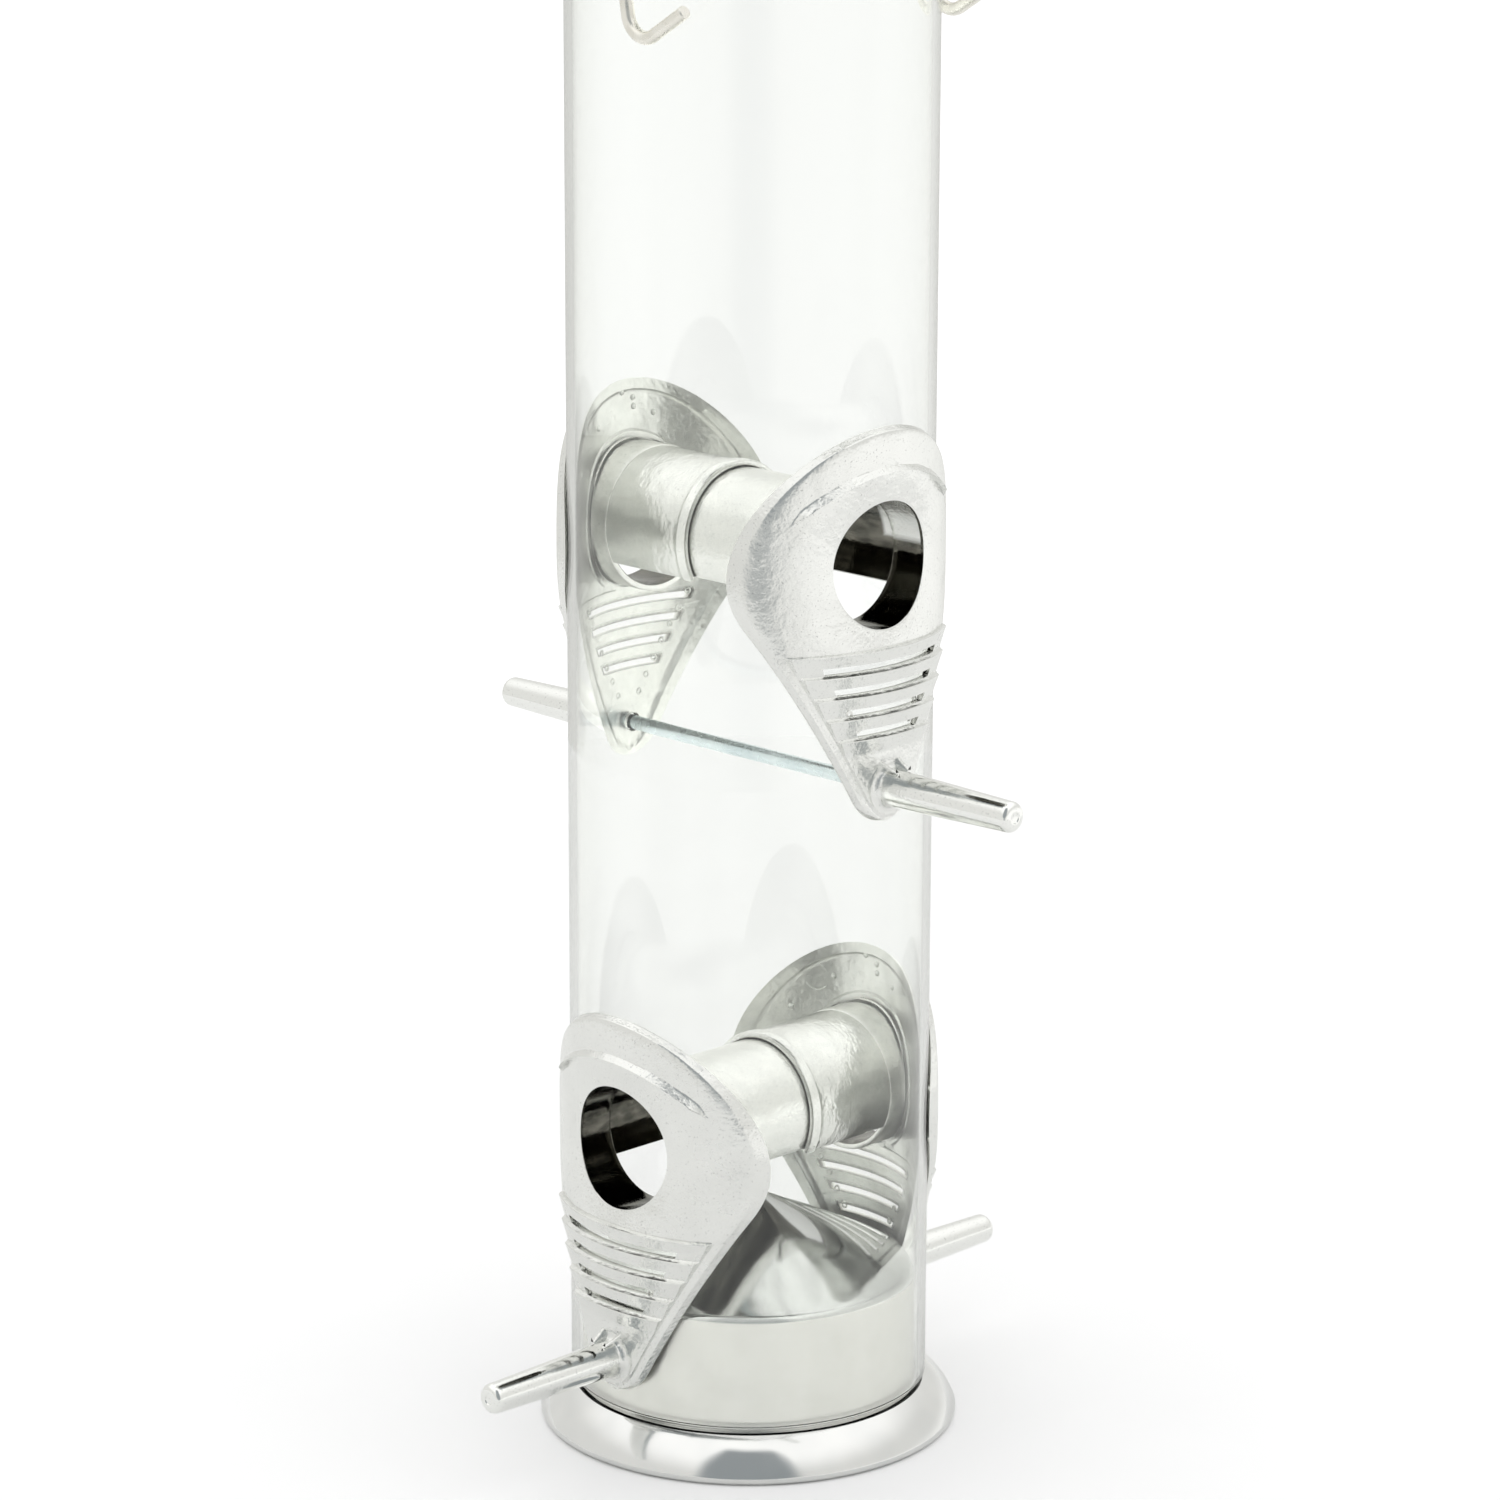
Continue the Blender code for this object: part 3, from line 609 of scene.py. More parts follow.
def head_shell(side):
    """The plate's head as spokes about the seed hole, cut off at the join with the ribs where they
    point down. Each spoke runs over the front from hole to edge, and back behind it. Where hole and
    edge are nearer than NARROW, the close steps by them shrink."""
    hole = HOLE_RADIUS[side]
    angle = np.linspace(0.0, math.tau, 320, endpoint=False)
    spokes = RIM - (0.0, HOLE_Z)
    turn = np.arctan2(spokes[:, 1], spokes[:, 0])
    reach = np.interp(angle, turn, np.hypot(*spokes.T), period=math.tau)
    slope = np.gradient(reach, angle)
    square = reach / np.hypot(reach, slope)
    sine = np.sin(angle)
    join_reach = np.where(sine < JOIN_SINE, (JOIN_Z - HOLE_Z) / np.minimum(sine, JOIN_SINE), 1.0)
    end = np.minimum(reach, join_reach)[:, None]
    tight = np.clip((end - hole) / NARROW, 0.0, 1.0)
    square = square[:, None]

    lift = HOLE_Z - BROW_LOW_CENTRE
    sine = sine[:, None]
    crest = np.sqrt(BROW_LOW_RADIUS ** 2 - lift ** 2 * (1.0 - sine ** 2)) - lift * sine

    def spoke(near_hole, middle, near_edge, follow):
        """Distances from the hole's centre: steps by the hole, an even run, steps by the edge. The
        run is parted at the brow's crest when it is to follow it."""
        inner = hole + np.array(near_hole)[None, :] * MM * tight
        outer = end - np.array(near_edge)[None, :] * MM * tight / square
        share = np.linspace(0.0, 1.0, middle + 2)[None, 1:-1]
        first, last = inner[:, -1:], outer[:, :1]
        line = np.clip(crest, first + 0.25 * (last - first), last - 0.25 * (last - first))
        near_line = line + np.array([-BROW_DROP, 0.0, 0.05 * MM])[None, :] * tight
        blocks = [inner, first + (near_line[:, :1] - first) * share, near_line,
                  near_line[:, 2:] + (last - near_line[:, 2:]) * share, outer]
        plain = [inner, first + (last - first) * share, outer]
        return np.concatenate(blocks if follow else plain, axis=1)

    # Millimetres from the hole and from the edge, close together where the surface bends.
    front = spoke([0.0, 0.06, 0.15, 0.5], 20,
                  [3.2, 2.6, 2.1, 1.7, 1.35, 1.05, 0.8, 0.65, 0.55, 0.5, 0.25, 0.05, 0.0], True)
    back = spoke([0.0, 2.5, 2.9], 14, [2.4, 2.1, 1.9, 0.3, 0.0], False)[:, ::-1]

    def place(distance):
        """y and z at these distances, then how far that is from the edge and from the hole."""
        y = distance * np.cos(angle)[:, None]
        z = distance * np.sin(angle)[:, None] + HOLE_Z
        edge_gap = (reach[:, None] - distance) * square
        return y, z, edge_gap, distance - hole

    y, z, edge_gap, hole_gap = place(front)
    lip = PLATE_EDGE + (PLATE_LIP - PLATE_EDGE) * np.clip(edge_gap / LIP_WIDTH, 0.0, 1.0)
    face = PLATE_STEP + (PLATE_FACE - PLATE_STEP) * rounded((edge_gap - LIP_WIDTH) / SHOULDER)
    radius = np.where(edge_gap < LIP_WIDTH - SEAM, lip, face + brow(y, z))
    radius -= HOLE_EASE * (1.0 - rounded(hole_gap / HOLE_EASE))
    radius -= 2.0 * DISH_DEPTH * (1.0 - eased(0.5 + 0.5 * hole_gap / DISH_WIDTH))
    front_points = on_drum(radius, y, z)
    y, z, edge_gap, hole_gap = place(back)
    inset = eased((edge_gap - BORDER_WIDTH) / BORDER_EASE)
    recess = inset * eased((hole_gap - HOLE_BORDER) / BORDER_EASE)
    back_points = on_drum(PLATE_BORDER + (PLATE_BACK - PLATE_BORDER) * recess, y, z)
    points = np.concatenate([front_points, back_points], axis=1)
    marks = np.zeros(points.shape)
    marks[:, front_points.shape[1]:, 1] = 1.0
    marks[:, 0, 0] = 1.0
    marks[:, -1, 0] = 1.0
    return grid_shell(points, rows_close=True, columns_close=True, marks=marks)


def pierced_shell(front, back, solid, front_marks, back_marks):
    """Closes two (rows, columns, 3) grids into a slab. Cells that aren't solid are left open, and
    a wall joins front and back wherever a solid cell meets an open one or the outside."""
    rows, columns = front.shape[:2]
    count = rows * columns
    index = np.arange(count).reshape(rows, columns)
    cells = [index[:-1, :-1][solid], index[1:, :-1][solid], index[1:, 1:][solid], index[:-1, 1:][solid]]
    face = np.stack(cells, -1)
    padded = np.pad(solid, 1)
    walls = []
    for along in (0, 1):
        differs = np.diff(padded.astype(int), axis=along) != 0
        differs = differs[:, 1:-1] if along == 0 else differs[1:-1, :]
        start = index[:, :-1][differs] if along == 0 else index[:-1, :][differs]
        stop = index[:, 1:][differs] if along == 0 else index[1:, :][differs]
        walls.append(np.stack([start, stop, stop + count, start + count], -1))
    quads = np.concatenate([face, face[:, ::-1] + count, *walls])
    points = np.concatenate([front.reshape(-1, 3), back.reshape(-1, 3)])
    marks = np.concatenate([front_marks.reshape(-1, 3), back_marks.reshape(-1, 3)])
    used = np.unique(quads)
    renumber = np.full(len(points), -1)
    renumber[used] = np.arange(len(used))
    return merged(points[used], renumber[quads], marks[used])


SLOT_LOW, SLOT_HIGH = 0.45 * MM, 1.75 * MM
SLOT_INSET = 6.1 * MM


def rib_rows():
    """Heights, outer radii and slot marks of the grille's rows, from above the top rib down."""
    rows = []
    for rib in range(RIB_COUNT):
        crest = RIB_TOP_Z - rib * RIB_PITCH
        below = crest - RIB_PITCH
        last = rib == RIB_COUNT - 1
        rows += [(crest + 0.22 * MM, PLATE_FACE + 0.25 * MM, False),
                 (crest + 0.08 * MM, RIB_CREST - 0.08 * MM, False),
                 (crest - 0.08 * MM, RIB_CREST, False),
                 (crest - 0.32 * MM, RIB_CREST - 0.07 * MM, False),
                 (crest - 1.1 * MM, RIB_CREST - 0.28 * MM, False)]
        if last:
            rows += [(crest - 2.2 * MM, PLATE_FACE + 0.05 * MM, False),
                     (crest - 2.5 * MM, PLATE_FACE, False)]
        else:
            rows += [(below + SLOT_HIGH, RIB_CREST - 0.48 * MM, True),
                     (below + SLOT_LOW, RIB_CREST - 0.72 * MM, False)]
    tip = TIP_Z + TIP_RADIUS * np.sin(np.linspace(0.45, -math.pi / 2, 14))
    rows += [(height, PLATE_FACE, False) for height in np.linspace(rows[-1][0], tip[0], 5)[1:-1]]
    rows += [(height, PLATE_FACE, False) for height in tip]
    return [np.array(column) for column in zip(*rows)]


def grille_shell():
    """The ribbed lower part of the plate as a pierced slab. Rows follow the ribs and slots, and
    columns follow the outline, the lip and the ends of the slots."""
    height, rib, slot_top = rib_rows()
    side = RIM[RIM[:, 0] >= 0.0]
    side = side[np.argsort(side[:, 1])]
    low_part = side[side[:, 1] < HEAD_Z]
    width = np.interp(height, low_part[:, 1], low_part[:, 0])
    width[-1] = 0.0
    steep = 1.0 / np.sqrt(1.0 + np.gradient(width, height) ** 2)
    steep = np.clip(steep, 0.35, 1.0)[:, None]
    width = width[:, None]
    slot_half = np.maximum(width - SLOT_INSET, width * 0.35)
    gaps = np.array([2.6, 2.05, 1.85, 1.7, 1.0, 0.55, 0.1, 0.0])[None, :] * MM / steep
    gaps = np.minimum(gaps, width * np.array([0.45, 0.4, 0.36, 0.33, 0.2, 0.1, 0.02, 0.0]))
    inner = slot_half * np.linspace(0.0, 1.0, 7)[None, :]
    outer = width - gaps
    between = slot_half + (outer[:, :1] - slot_half) * np.linspace(0.0, 1.0, 5)[None, 1:-1]
    half = np.concatenate([inner, between, outer], axis=1)
    y = np.concatenate([-half[:, :0:-1], half], axis=1)
    edge_gap = (width - np.abs(y)) * steep
    z = height[:, None] + 0.0 * y
    lip = PLATE_EDGE + (PLATE_LIP - PLATE_EDGE) * np.clip(edge_gap / LIP_WIDTH, 0.0, 1.0)
    body = np.where(edge_gap < RIB_INSET, lip - SEAM, rib[:, None])
    border = 1.0 - eased((edge_gap - BORDER_WIDTH) / BORDER_EASE)
    border = np.maximum(border, eased((height[:, None] - RIB_TOP_Z) / (0.6 * MM)))
    behind = PLATE_BACK - SEAM - (PLATE_BACK - PLATE_BORDER) * border
    middle = y.shape[1] // 2
    front, back = on_drum(body, y, z), on_drum(behind, y, z)
    back_marks = np.zeros(back.shape)
    back_marks[:, :, 1] = 1.0
    solid = np.ones((y.shape[0] - 1, y.shape[1] - 1), bool)
    for row in np.flatnonzero(slot_top):
        solid[row, middle - 6:middle + 6] = False
        # Painted shade: the back of each slot row is marked near black, so the slot walls darken from
        # front to back and show as dark lines under each slot.
        back_marks[row:row + 2, middle - 6:middle + 7] = (0.9, 0.0, 0.0)
    return pierced_shell(front, back, solid, np.zeros(front.shape), back_marks)


HOOD_WALL = 1.0 * MM
COLLAR_STEP = 0.2 * MM
COLLAR_END_X = 23.5 * MM
HOOD_END_X = {"near": -8.0 * MM, "far": 3.0 * MM}
HOOD_OPEN_BELOW = math.radians(-30.0)
HOOD_BEAD = 0.35 * MM
SLEEVE_END = 2.6 * MM
SLEEVE_STEPS = 40
# Depth and angles of the painted reflection in the bore.
GLINT_DEPTH = 9.0 * MM
GLINT_FROM, GLINT_TO = 0.15, 1.25
OUTSIDE_SHADE = 0.18


def sleeve_shell(inner, outer, end_x, first, last, satin, bead=0.0):
    """A round sleeve along X about the seed hole's axis, from inside the plate to its end. Rows go
    round it, and each row is the wall's section: out along the outside and back along the bore.
    The bore is coloured nearly black except for a painted reflection, a light patch near its mouth on
    the upper side. Satin marks the outside."""
    whole = last - first > math.radians(355.0)
    angle = np.linspace(first, last, 97)[:-1] if whole else np.linspace(first, last, 81)
    angle = angle[:, None]
    middle, half = (inner + outer) / 2, (outer - inner) / 2
    start_x = np.sqrt((PLATE_BORDER + 0.05 * MM) ** 2 - (middle * np.cos(angle)) ** 2)
    stations = np.concatenate([np.linspace(1.0, 0.0, SLEEVE_STEPS), np.zeros(4)])[None, :]
    end_gaps = np.array([2.1, 1.9, 0.35, 0.1]) * MM
    gap = np.concatenate([np.full(SLEEVE_STEPS, SLEEVE_END), end_gaps])[None, :]
    thin = np.concatenate([np.ones(SLEEVE_STEPS + 3), [0.85]])[None, :]
    swell = np.concatenate([np.zeros(SLEEVE_STEPS), [0.3, 1.0, 1.0, 0.7]])[None, :] * bead
    run = end_x + gap + (start_x - end_x - SLEEVE_END) * stations
    outside = middle + half * thin + swell
    bore = (middle - half * thin)[:, ::-1]
    tip = np.full_like(angle, end_x)
    x = np.concatenate([run, tip, tip, run[:, ::-1]], axis=1)
    ring = np.concatenate([outside, [[outer - 0.3 * MM + bead * 0.6, inner + 0.3 * MM]], bore], axis=1)
    points = np.stack([x, ring * np.cos(angle), HOLE_Z + ring * np.sin(angle)], -1)
    marks = np.zeros(points.shape)
    bore_columns = np.arange(points.shape[1]) > points.shape[1] // 2
    depth = start_x - x
    # Painted reflection: the bore keeps the plate's colour in a patch near its mouth on the upper side,
    # and is coloured nearly black elsewhere.
    painted_glint = eased((GLINT_DEPTH - depth) / (0.8 * MM)) * eased((angle - GLINT_FROM) / 0.08)
    painted_glint *= eased((GLINT_TO - angle) / 0.1)
    marks[:, :, 0] = np.where(bore_columns, 1.0 - painted_glint, OUTSIDE_SHADE * (1.0 - satin))
    marks[:, :, 1] = np.where(bore_columns, 0.0, satin)
    return grid_shell(points, rows_close=whole, columns_close=True, capped=not whole, marks=marks)


PERCH_TIP_X = 63.0 * MM
PERCH_ROOT = 3.3 * MM
PERCH_TIP = 2.7 * MM
PERCH_ROUND = 1.3 * MM
PERCH_FILLET = (1.4 * MM, 1.3 * MM)
PERCH_BITE = 0.6 * MM


def perch_shell():
    """The perch turned about X: a filleted root, a slight taper, a rounded end with a shallow dish."""
    root_radius = PERCH_ROOT + PERCH_FILLET[0]
    root = arc((root_radius, PLATE_FACE + PERCH_FILLET[1]), PERCH_FILLET, -math.pi / 2, -math.pi, 8)
    nose = arc((PERCH_TIP - PERCH_ROUND, PERCH_TIP_X - PERCH_ROUND), PERCH_ROUND, 0.0, 1.25, 9)
    shank = np.linspace(root[-1], nose[0], 26)[1:-1]
    dish = np.array([[1.25, 0.02], [1.1, 0.0], [0.95, 0.06], [0.85, 0.22], [0.0, 0.26]]) * MM
    dish[:, 1] = PERCH_TIP_X - dish[:, 1]
    start = np.array([[0.0, PLATE_FACE - PERCH_BITE], [root_radius, PLATE_FACE - PERCH_BITE]])
    profile = np.concatenate([start, root, shank, nose, dish])
    marks = np.zeros((64, len(profile), 3))
    marks[:, 10:, 2] = 1.0
    return revolved(profile, 64, axis="X", marks=marks)


FIN_HEIGHT = 1.7 * MM
FIN_END_HEIGHT = 0.3 * MM
FIN_HALF_THICK = 0.42 * MM
FIN_LENGTH = 3.6 * MM
FIN_LEAN = 0.45


def fin_shell(lean):
    """One of two small fins over the perch's root: a thin rounded wedge that falls towards the tip."""
    share = np.concatenate([[0.0], np.linspace(0.0, 1.0, 8), [1.0]])[:, None]
    size = np.concatenate([[0.0], np.ones(8), [0.0]])[:, None]
    around = np.linspace(0.0, math.tau, 16, endpoint=False)[None, :]
    tall = (FIN_HEIGHT * (1.0 - share) + FIN_END_HEIGHT) * size
    across = FIN_HALF_THICK * np.sign(np.cos(around)) * np.sqrt(np.abs(np.cos(around))) * size
    climb = tall * (0.5 + 0.5 * np.sin(around)) + PERCH_ROOT - 0.3 * MM + 1.0 * MM * (size == 0)
    x = PLATE_FACE - 0.4 * MM + FIN_LENGTH * share
    points = np.stack([x + 0.0 * climb, across + lean * climb * FIN_LEAN, climb], -1)
    return grid_shell(points, columns_close=True)


def dome_profile(radius, height):
    """Half section of a small rounded peg that starts a little under its surface."""
    dome = arc((0.0, 0.0), (radius, height), math.pi / 2, 0.0, 4)
    return np.concatenate([dome, [[radius, -0.2 * MM], [0.0, -0.2 * MM]]])


def ring_profile(radius, thick, height):
    """Section of a low raised ring, closed."""
    top = arc((radius, 0.0), (thick, height), 0.0, math.pi, 5)
    return np.concatenate([top, [[radius - thick, -0.2 * MM], [radius + thick, -0.2 * MM]]])


def on_back(shell, y, z):
    """Moves a small shape that stands along Z to the back of the plate, pointing at the axis."""
    points, polygons, marks = shell
    lean = math.asin(y / PLATE_BACK)
    up, across, out = points[:, 0], points[:, 1], PLATE_BACK - points[:, 2]
    moved = np.stack([out * math.cos(lean) - across * math.sin(lean),
                      out * math.sin(lean) + across * math.cos(lean), up + z], -1)
    return moved, polygons, np.broadcast_to((0.0, 1.0, 0.0), marks.shape)


# Places (y, z) of the pegs, and places and radii of the two larger rings, in millimetres.
PEGS = ((1.5, 60.0), (-1.6, 57.2), (-6.3, 55.6), (-1.4, 58.8), (9.0, 54.6), (17.0, 47.8),
        (-19.6, 40.5), (-19.5, 30.8))
MEDALS = ((12.4, 54.0, 2.5), (-14.5, 28.4, 1.9))


def back_details():
    """Ejector marks on the back: small pegs, two larger rings, and rows of tiny rings by the slots."""
    shells = [on_back(revolved(dome_profile(0.6 * MM, 0.45 * MM), 12), y * MM, z * MM) for y, z in PEGS]
    shells += [on_back(revolved(ring_profile(r * MM, 0.16 * MM, 0.12 * MM), 28), y * MM, z * MM)
               for y, z, r in MEDALS]
    tiny = revolved(ring_profile(0.5 * MM, 0.18 * MM, 0.16 * MM), 12)
    for step in range(7):
        z = RIB_TOP_Z - 2.0 * MM - step * 2.9 * MM
        y = 13.1 * MM - step * 1.72 * MM
        shells += [on_back(tiny, side * y, z) for side in (-1, 1)]
    shells += [on_back(tiny, (step * 2.4 - 6.0) * MM, RIB_TOP_Z + (0.9 + abs(step - 2.5) * 0.15) * MM)
               for step in range(6)]
    return shells


def placed(shell, turn, height):
    """A shell turned about the tube's axis and raised."""
    points, polygons, marks = shell
    x, y, z = points.T
    cosine, sine = math.cos(turn), math.sin(turn)
    return np.stack([x * cosine - y * sine, x * sine + y * cosine, z + height], -1), polygons, marks


def casting_shells(side):
    """Every closed shell of one casting, facing +X with its perch on the X axis."""
    inner = HOLE_RADIUS[side]
    collar = sleeve_shell(inner + 0.02 * MM, inner + HOOD_WALL + COLLAR_STEP, COLLAR_END_X, 0.0,
                          math.tau, 1.0)
    roof = sleeve_shell(inner + COLLAR_STEP, inner + HOOD_WALL, HOOD_END_X[side], HOOD_OPEN_BELOW,
                        math.pi - HOOD_OPEN_BELOW, 0.0, HOOD_BEAD if side == "far" else 0.0)
    return [head_shell(side), grille_shell(), collar, roof, perch_shell(), fin_shell(1),
            fin_shell(-1), *back_details()]


def plated_casting():
    """Bright plated zinc: satin with an orange-peel skin, polished perch, a back made pale partly as
    painted light, and a nearly black bore with a painted reflection near its mouth. The same near black
    is painted shade in the slots."""
    material, tree, shader = new_material("plated_casting")
    finish = node(tree, "Attribute", attribute_name="finish").outputs["Color"]
    marks = node(tree, "SeparateColor", {0: finish}).outputs
    # Red marks the bore and the painted shade in the slots.
    bore, back, polish = marks["Red"], marks["Green"], marks["Blue"]
    front_colour = mixed(tree, mottle(tree, 7 * MM), (0.86, 0.865, 0.845), (0.90, 0.905, 0.885))
    # The back's paler colour is partly painted light, raised to make up for light the backs lack behind
    # the tube.
    back_colour_and_painted_light = mixed(tree, mottle(tree, 2.5 * MM), (0.86, 0.865, 0.835), (0.98, 0.98, 0.95))
    colour = mixed(tree, back, front_colour, back_colour_and_painted_light)
    colour = mixed(tree, polish, colour, (0.965, 0.97, 0.95))
    pits = ramp(tree, mottle(tree, 0.35 * MM), 0.90, 0.99)
    colour = mixed(tree, maths(tree, "MULTIPLY", pits, 0.35), colour, (0.25, 0.25, 0.25))
    # Near black: the bore's colour, and painted shade in the grille's slots.
    bore_black_and_painted_shade = mixed(tree, mottle(tree, 4 * MM, stretch=0.4), (0.07, 0.07, 0.06), (0.22, 0.21, 0.18))
    colour = mixed(tree, bore, colour, bore_black_and_painted_shade)
    satin = maths(tree, "MULTIPLY_ADD", back, 0.12, mottle(tree, 5 * MM, 0.20, 0.28))
    smooth = maths(tree, "MAXIMUM", polish, bore)
    rough = maths(tree, "MULTIPLY_ADD", smooth, -0.14, satin)
    unpolished = maths(tree, "SUBTRACT", 1.0, maths(tree, "MULTIPLY", smooth, 0.85))
    peel = node(tree, "Bump", {"Strength": maths(tree, "MULTIPLY", unpolished, 0.30),
                               "Distance": 0.10 * MM, "Height": mottle(tree, 0.75 * MM)}).outputs[0]
    skin = node(tree, "Bump", {"Strength": maths(tree, "MULTIPLY", unpolished, 0.20),
                               "Distance": 0.5 * MM, "Height": mottle(tree, 4 * MM),
                               "Normal": peel}).outputs[0]
    fill(tree, shader, {"Base Color": colour, "Metallic": 1.0, "Roughness": rough, "Normal": skin})
    return material


castings = {side: casting_shells(side) for side in ("near", "far")}
casting_metal = plated_casting()
for port, (level, side, turn) in PORTS.items():
    shells = [placed(shell, turn, PERCH_Z[level]) for shell in castings[side]]
    add_piece(f"{port}_casting", mesh_of(f"{port}_casting", shells), casting_metal, "feeder", "port",
              port)

# ------------------------------------------------------------------ tie rods
# Two straight steel rods in blue bright zinc, with eased ends, one across the tube behind each
# pair of perches.

ROD_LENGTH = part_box("tie_rod_upper")[1].x
ROD_EASE = 0.3 * MM


def zinc_plate():
    """Blue bright zinc on drawn steel rod: streaky blue-grey with fine drawing marks."""
    material, tree, shader = new_material("blue_zinc")
    colour = mixed(tree, mottle(tree, 4 * MM), (0.62, 0.71, 0.74), (0.76, 0.84, 0.86))
    grain = node(tree, "Bump", {"Strength": 0.12, "Distance": 0.05 * MM,
                                "Height": mottle(tree, 1.2 * MM)}).outputs[0]
    fill(tree, shader, {"Base Color": colour, "Metallic": 1.0, "Normal": grain,
                        "Roughness": mottle(tree, 2 * MM, 0.22, 0.34)})
    return material


rod_end = np.array([[0.0, ROD_LENGTH], [ROD_RADIUS - ROD_EASE, ROD_LENGTH],
                    [ROD_RADIUS, ROD_LENGTH - ROD_EASE]])
rod_profile = np.concatenate([rod_end, rod_end[::-1] * (1.0, -1.0)])
rod_metal = zinc_plate()
for level, axis in (("upper", "X"), ("lower", "Y")):
    rod = placed(revolved(rod_profile, 40, axis=axis), 0.0, PERCH_Z[level])
    add_piece(f"{level}_rod", mesh_of(f"{level}_rod", [rod]), rod_metal, "feeder", "rod",
              f"tie_rod_{level}")

# ------------------------------------------------------------------ lid
# A spun aluminium cap: a shallow cone, a wall that slips over the tube, and a flared brim with a
# hole on each side for the bail's legs.

LID_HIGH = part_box("lid")[1]
LID_WALL = 33.3 * MM
BRIM_Z = 302.1 * MM
BRIM_FLARE = 3.0 * MM
BRIM_ROOT_Z = BRIM_Z + 4.5 * MM
LID_SHOULDER_Z = 319.0 * MM
LID_SHOULDER = 4.5 * MM
LID_SHOULDER_LIFT = 1.2 * MM
LID_SHOULDER_START = math.radians(57.0)
BRIM_LIP = 0.6 * MM
BRIM_HOLE = 1.9 * MM
BAIL_TURN = math.radians(-2.0)
BAIL_LEAN = math.radians(-9.8)
BAIL_HALF_WIDTH = 35.2 * MM
HANGER = (Matrix.Translation((0.0, 0.0, BRIM_Z)) @ Matrix.Rotation(BAIL_TURN, 4, "Z")
          @ Matrix.Rotation(BAIL_LEAN, 4, "Y"))

lid_corner = (LID_WALL - LID_SHOULDER, LID_SHOULDER_Z - LID_SHOULDER + LID_SHOULDER_LIFT)
lid_nose = np.array([[0.0, 0.0], [1.5, -0.1], [3.0, -0.4], [4.5, -0.95], [6.0, -1.7]]) * MM
lid_nose[:, 1] += LID_HIGH.z
lid_shoulder = arc(lid_corner, LID_SHOULDER, LID_SHOULDER_START, 0.0, 12)
lid_slope = np.linspace(lid_nose[-1], lid_shoulder[0], 20)[1:-1]
lid_flare = arc((LID_WALL + BRIM_FLARE, BRIM_ROOT_Z), BRIM_FLARE, math.pi, math.pi * 1.35, 9)
lid_wall = np.linspace(lid_shoulder[-1], lid_flare[0], 10)[1:-1]
flare_width = LID_HIGH.x - LID_WALL
lid_edge = np.array([[LID_WALL + flare_width * 0.97, BRIM_Z], [LID_HIGH.x, BRIM_Z - BRIM_LIP]])
lid_outer = np.concatenate([lid_nose, lid_slope, lid_shoulder, lid_wall, lid_flare, lid_edge])
lid_under = offset_line(lid_outer, SHEET)
lid_under[0, 0] = 0.0
lid_line = np.concatenate([lid_outer, lid_under[::-1]])
lid_mesh = mesh_of("lid_spinning", [revolved(lid_line, SPUN_STEPS)])
leg_way = (HANGER.to_3x3() @ Vector((0.0, 0.0, 1.0)))[:]
lid_mesh = drilled(lid_mesh, [(HANGER @ Vector((0.0, side * BAIL_HALF_WIDTH, 0.0)), leg_way,
                               BRIM_HOLE, 12 * MM) for side in (-1, 1)])
lid_mesh.set_sharp_from_angle(angle=SHARP_ANGLE)
add_piece("lid_spinning", lid_mesh, spun_aluminium("lid_aluminium", 0.0), "lid", "lid", "lid")

# ------------------------------------------------------------------ bail
# One length of drawn steel wire, bent into an arch with two legs that pass through the brim. The
# ends are bent up into hooks, so that they catch under the brim when the feeder hangs.

WIRE_RADIUS = 1.15 * MM
BAIL_LEG = 48.1 * MM
BAIL_SHOULDER = 16.0 * MM
BAIL_ARCH_RISE = 24.2 * MM
HOOK_RADIUS = 4.3 * MM
HOOK_BEND = math.radians(110.4)
HOOK_TIP = 8.8 * MM
WIRE_EASE = 0.85
WIRE_END = 0.2 * MM


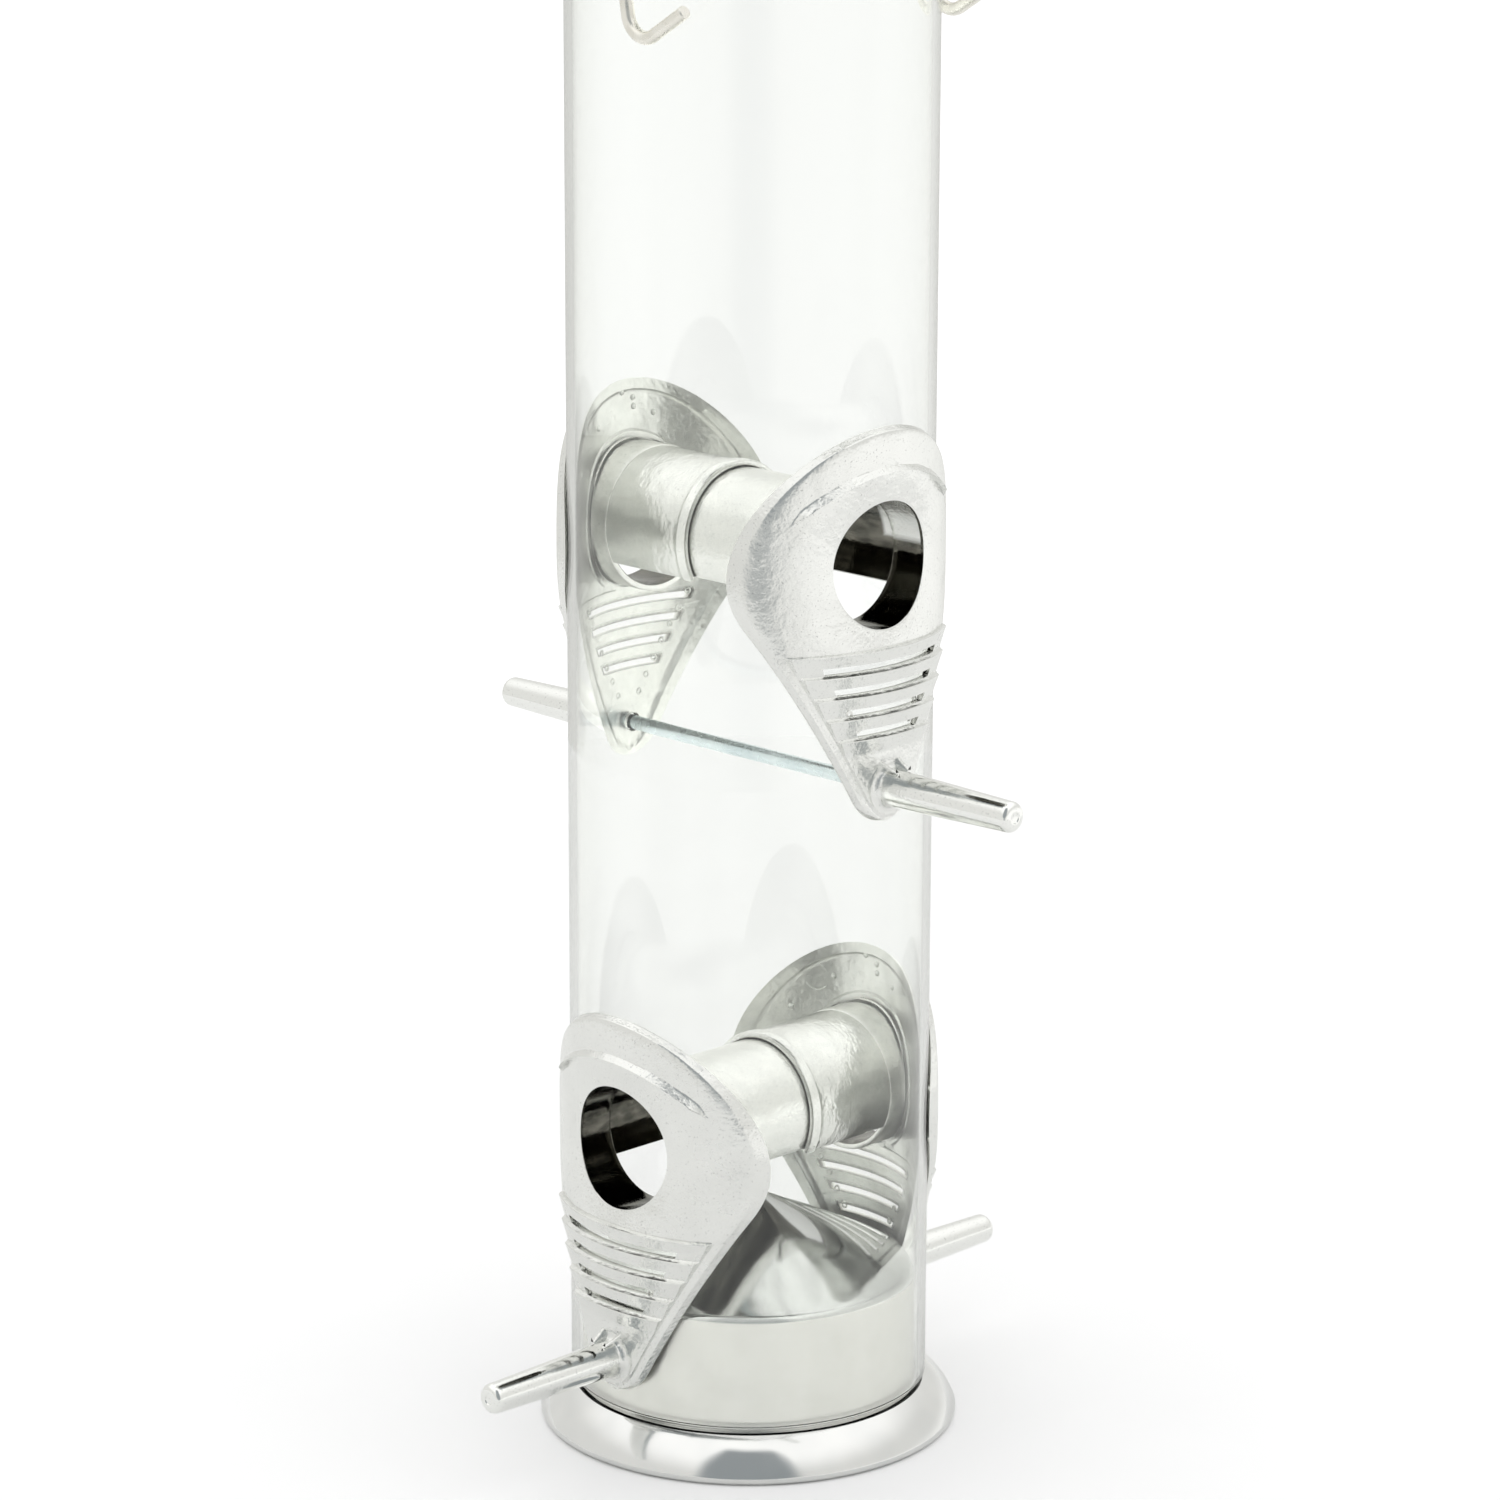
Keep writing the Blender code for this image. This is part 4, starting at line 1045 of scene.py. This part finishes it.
def bail_line():
    """The wire's middle line in the hanger's frame: tip, hook, leg, arch, leg, hook, tip."""
    hook = arc((HOOK_RADIUS, -BAIL_LEG), HOOK_RADIUS, math.pi, math.pi + HOOK_BEND, 25)
    way = math.pi + HOOK_BEND
    tip_end = hook[-1] + HOOK_TIP * np.array([-math.sin(way), math.cos(way)])
    half = np.concatenate([np.linspace(tip_end, hook[-1], 6)[:-1], hook[::-1],
                           np.linspace(hook[0], (0.0, BAIL_SHOULDER), 30)[1:-1]])
    bow = arc((0.0, BAIL_SHOULDER), (BAIL_HALF_WIDTH, BAIL_ARCH_RISE), math.pi, 0.0, 61)
    legs = [np.stack([half[:, 0], np.full(len(half), side * BAIL_HALF_WIDTH), half[:, 1]], -1)
            for side in (-1, 1)]
    arch = np.stack([np.zeros(len(bow)), bow[:, 0], bow[:, 1]], -1)
    return np.concatenate([legs[0], arch, legs[1][::-1]])


def wire_shell(line, radius, ring=24):
    """A round wire along a line: a circle square to the line at each point, carried along without
    twist, with flat ends whose corners are eased."""
    along = np.gradient(line, axis=0)
    along /= np.linalg.norm(along, axis=1, keepdims=True)
    sides = [np.array([0.0, 1.0, 0.0])]
    for direction in along:
        side = sides[-1] - direction * (sides[-1] @ direction)
        sides.append(side / np.linalg.norm(side))
    side = np.array(sides[1:])
    other = np.cross(along, side)
    line = np.concatenate([line[:1], line[:1], line[:1] + along[:1] * WIRE_END, line[1:-1],
                           line[-1:] - along[-1:] * WIRE_END, line[-1:], line[-1:]])
    side = np.concatenate([side[:1]] * 2 + [side] + [side[-1:]] * 2)
    other = np.concatenate([other[:1]] * 2 + [other] + [other[-1:]] * 2)
    size = np.concatenate([[0.0, WIRE_EASE], np.ones(len(line) - 4), [WIRE_EASE, 0.0]]) * radius
    angle = np.linspace(0.0, math.tau, ring, endpoint=False)[None, :, None]
    points = line[:, None] + size[:, None, None] * (np.cos(angle) * side[:, None]
                                                    + np.sin(angle) * other[:, None])
    return grid_shell(points, columns_close=True)


def drawn_wire():
    """Drawn stainless wire: slightly warm, with fine drawing lines and a dull skin."""
    material, tree, shader = new_material("bail_wire")
    colour = mixed(tree, mottle(tree, 3 * MM), (0.86, 0.835, 0.765), (0.96, 0.94, 0.88))
    grain = node(tree, "Bump", {"Strength": 0.3, "Distance": 0.04 * MM,
                                "Height": mottle(tree, 0.3 * MM, stretch=12.0)}).outputs[0]
    fill(tree, shader, {"Base Color": colour, "Metallic": 1.0, "Normal": grain,
                        "Roughness": mottle(tree, 1.5 * MM, 0.22, 0.36)})
    return material


bail_points = np.array([(HANGER @ Vector(point))[:] for point in bail_line().tolist()])
add_piece("bail_wire", mesh_of("bail_wire", [wire_shell(bail_points, WIRE_RADIUS)]), drawn_wire(),
          "bail", "bail", "bail")
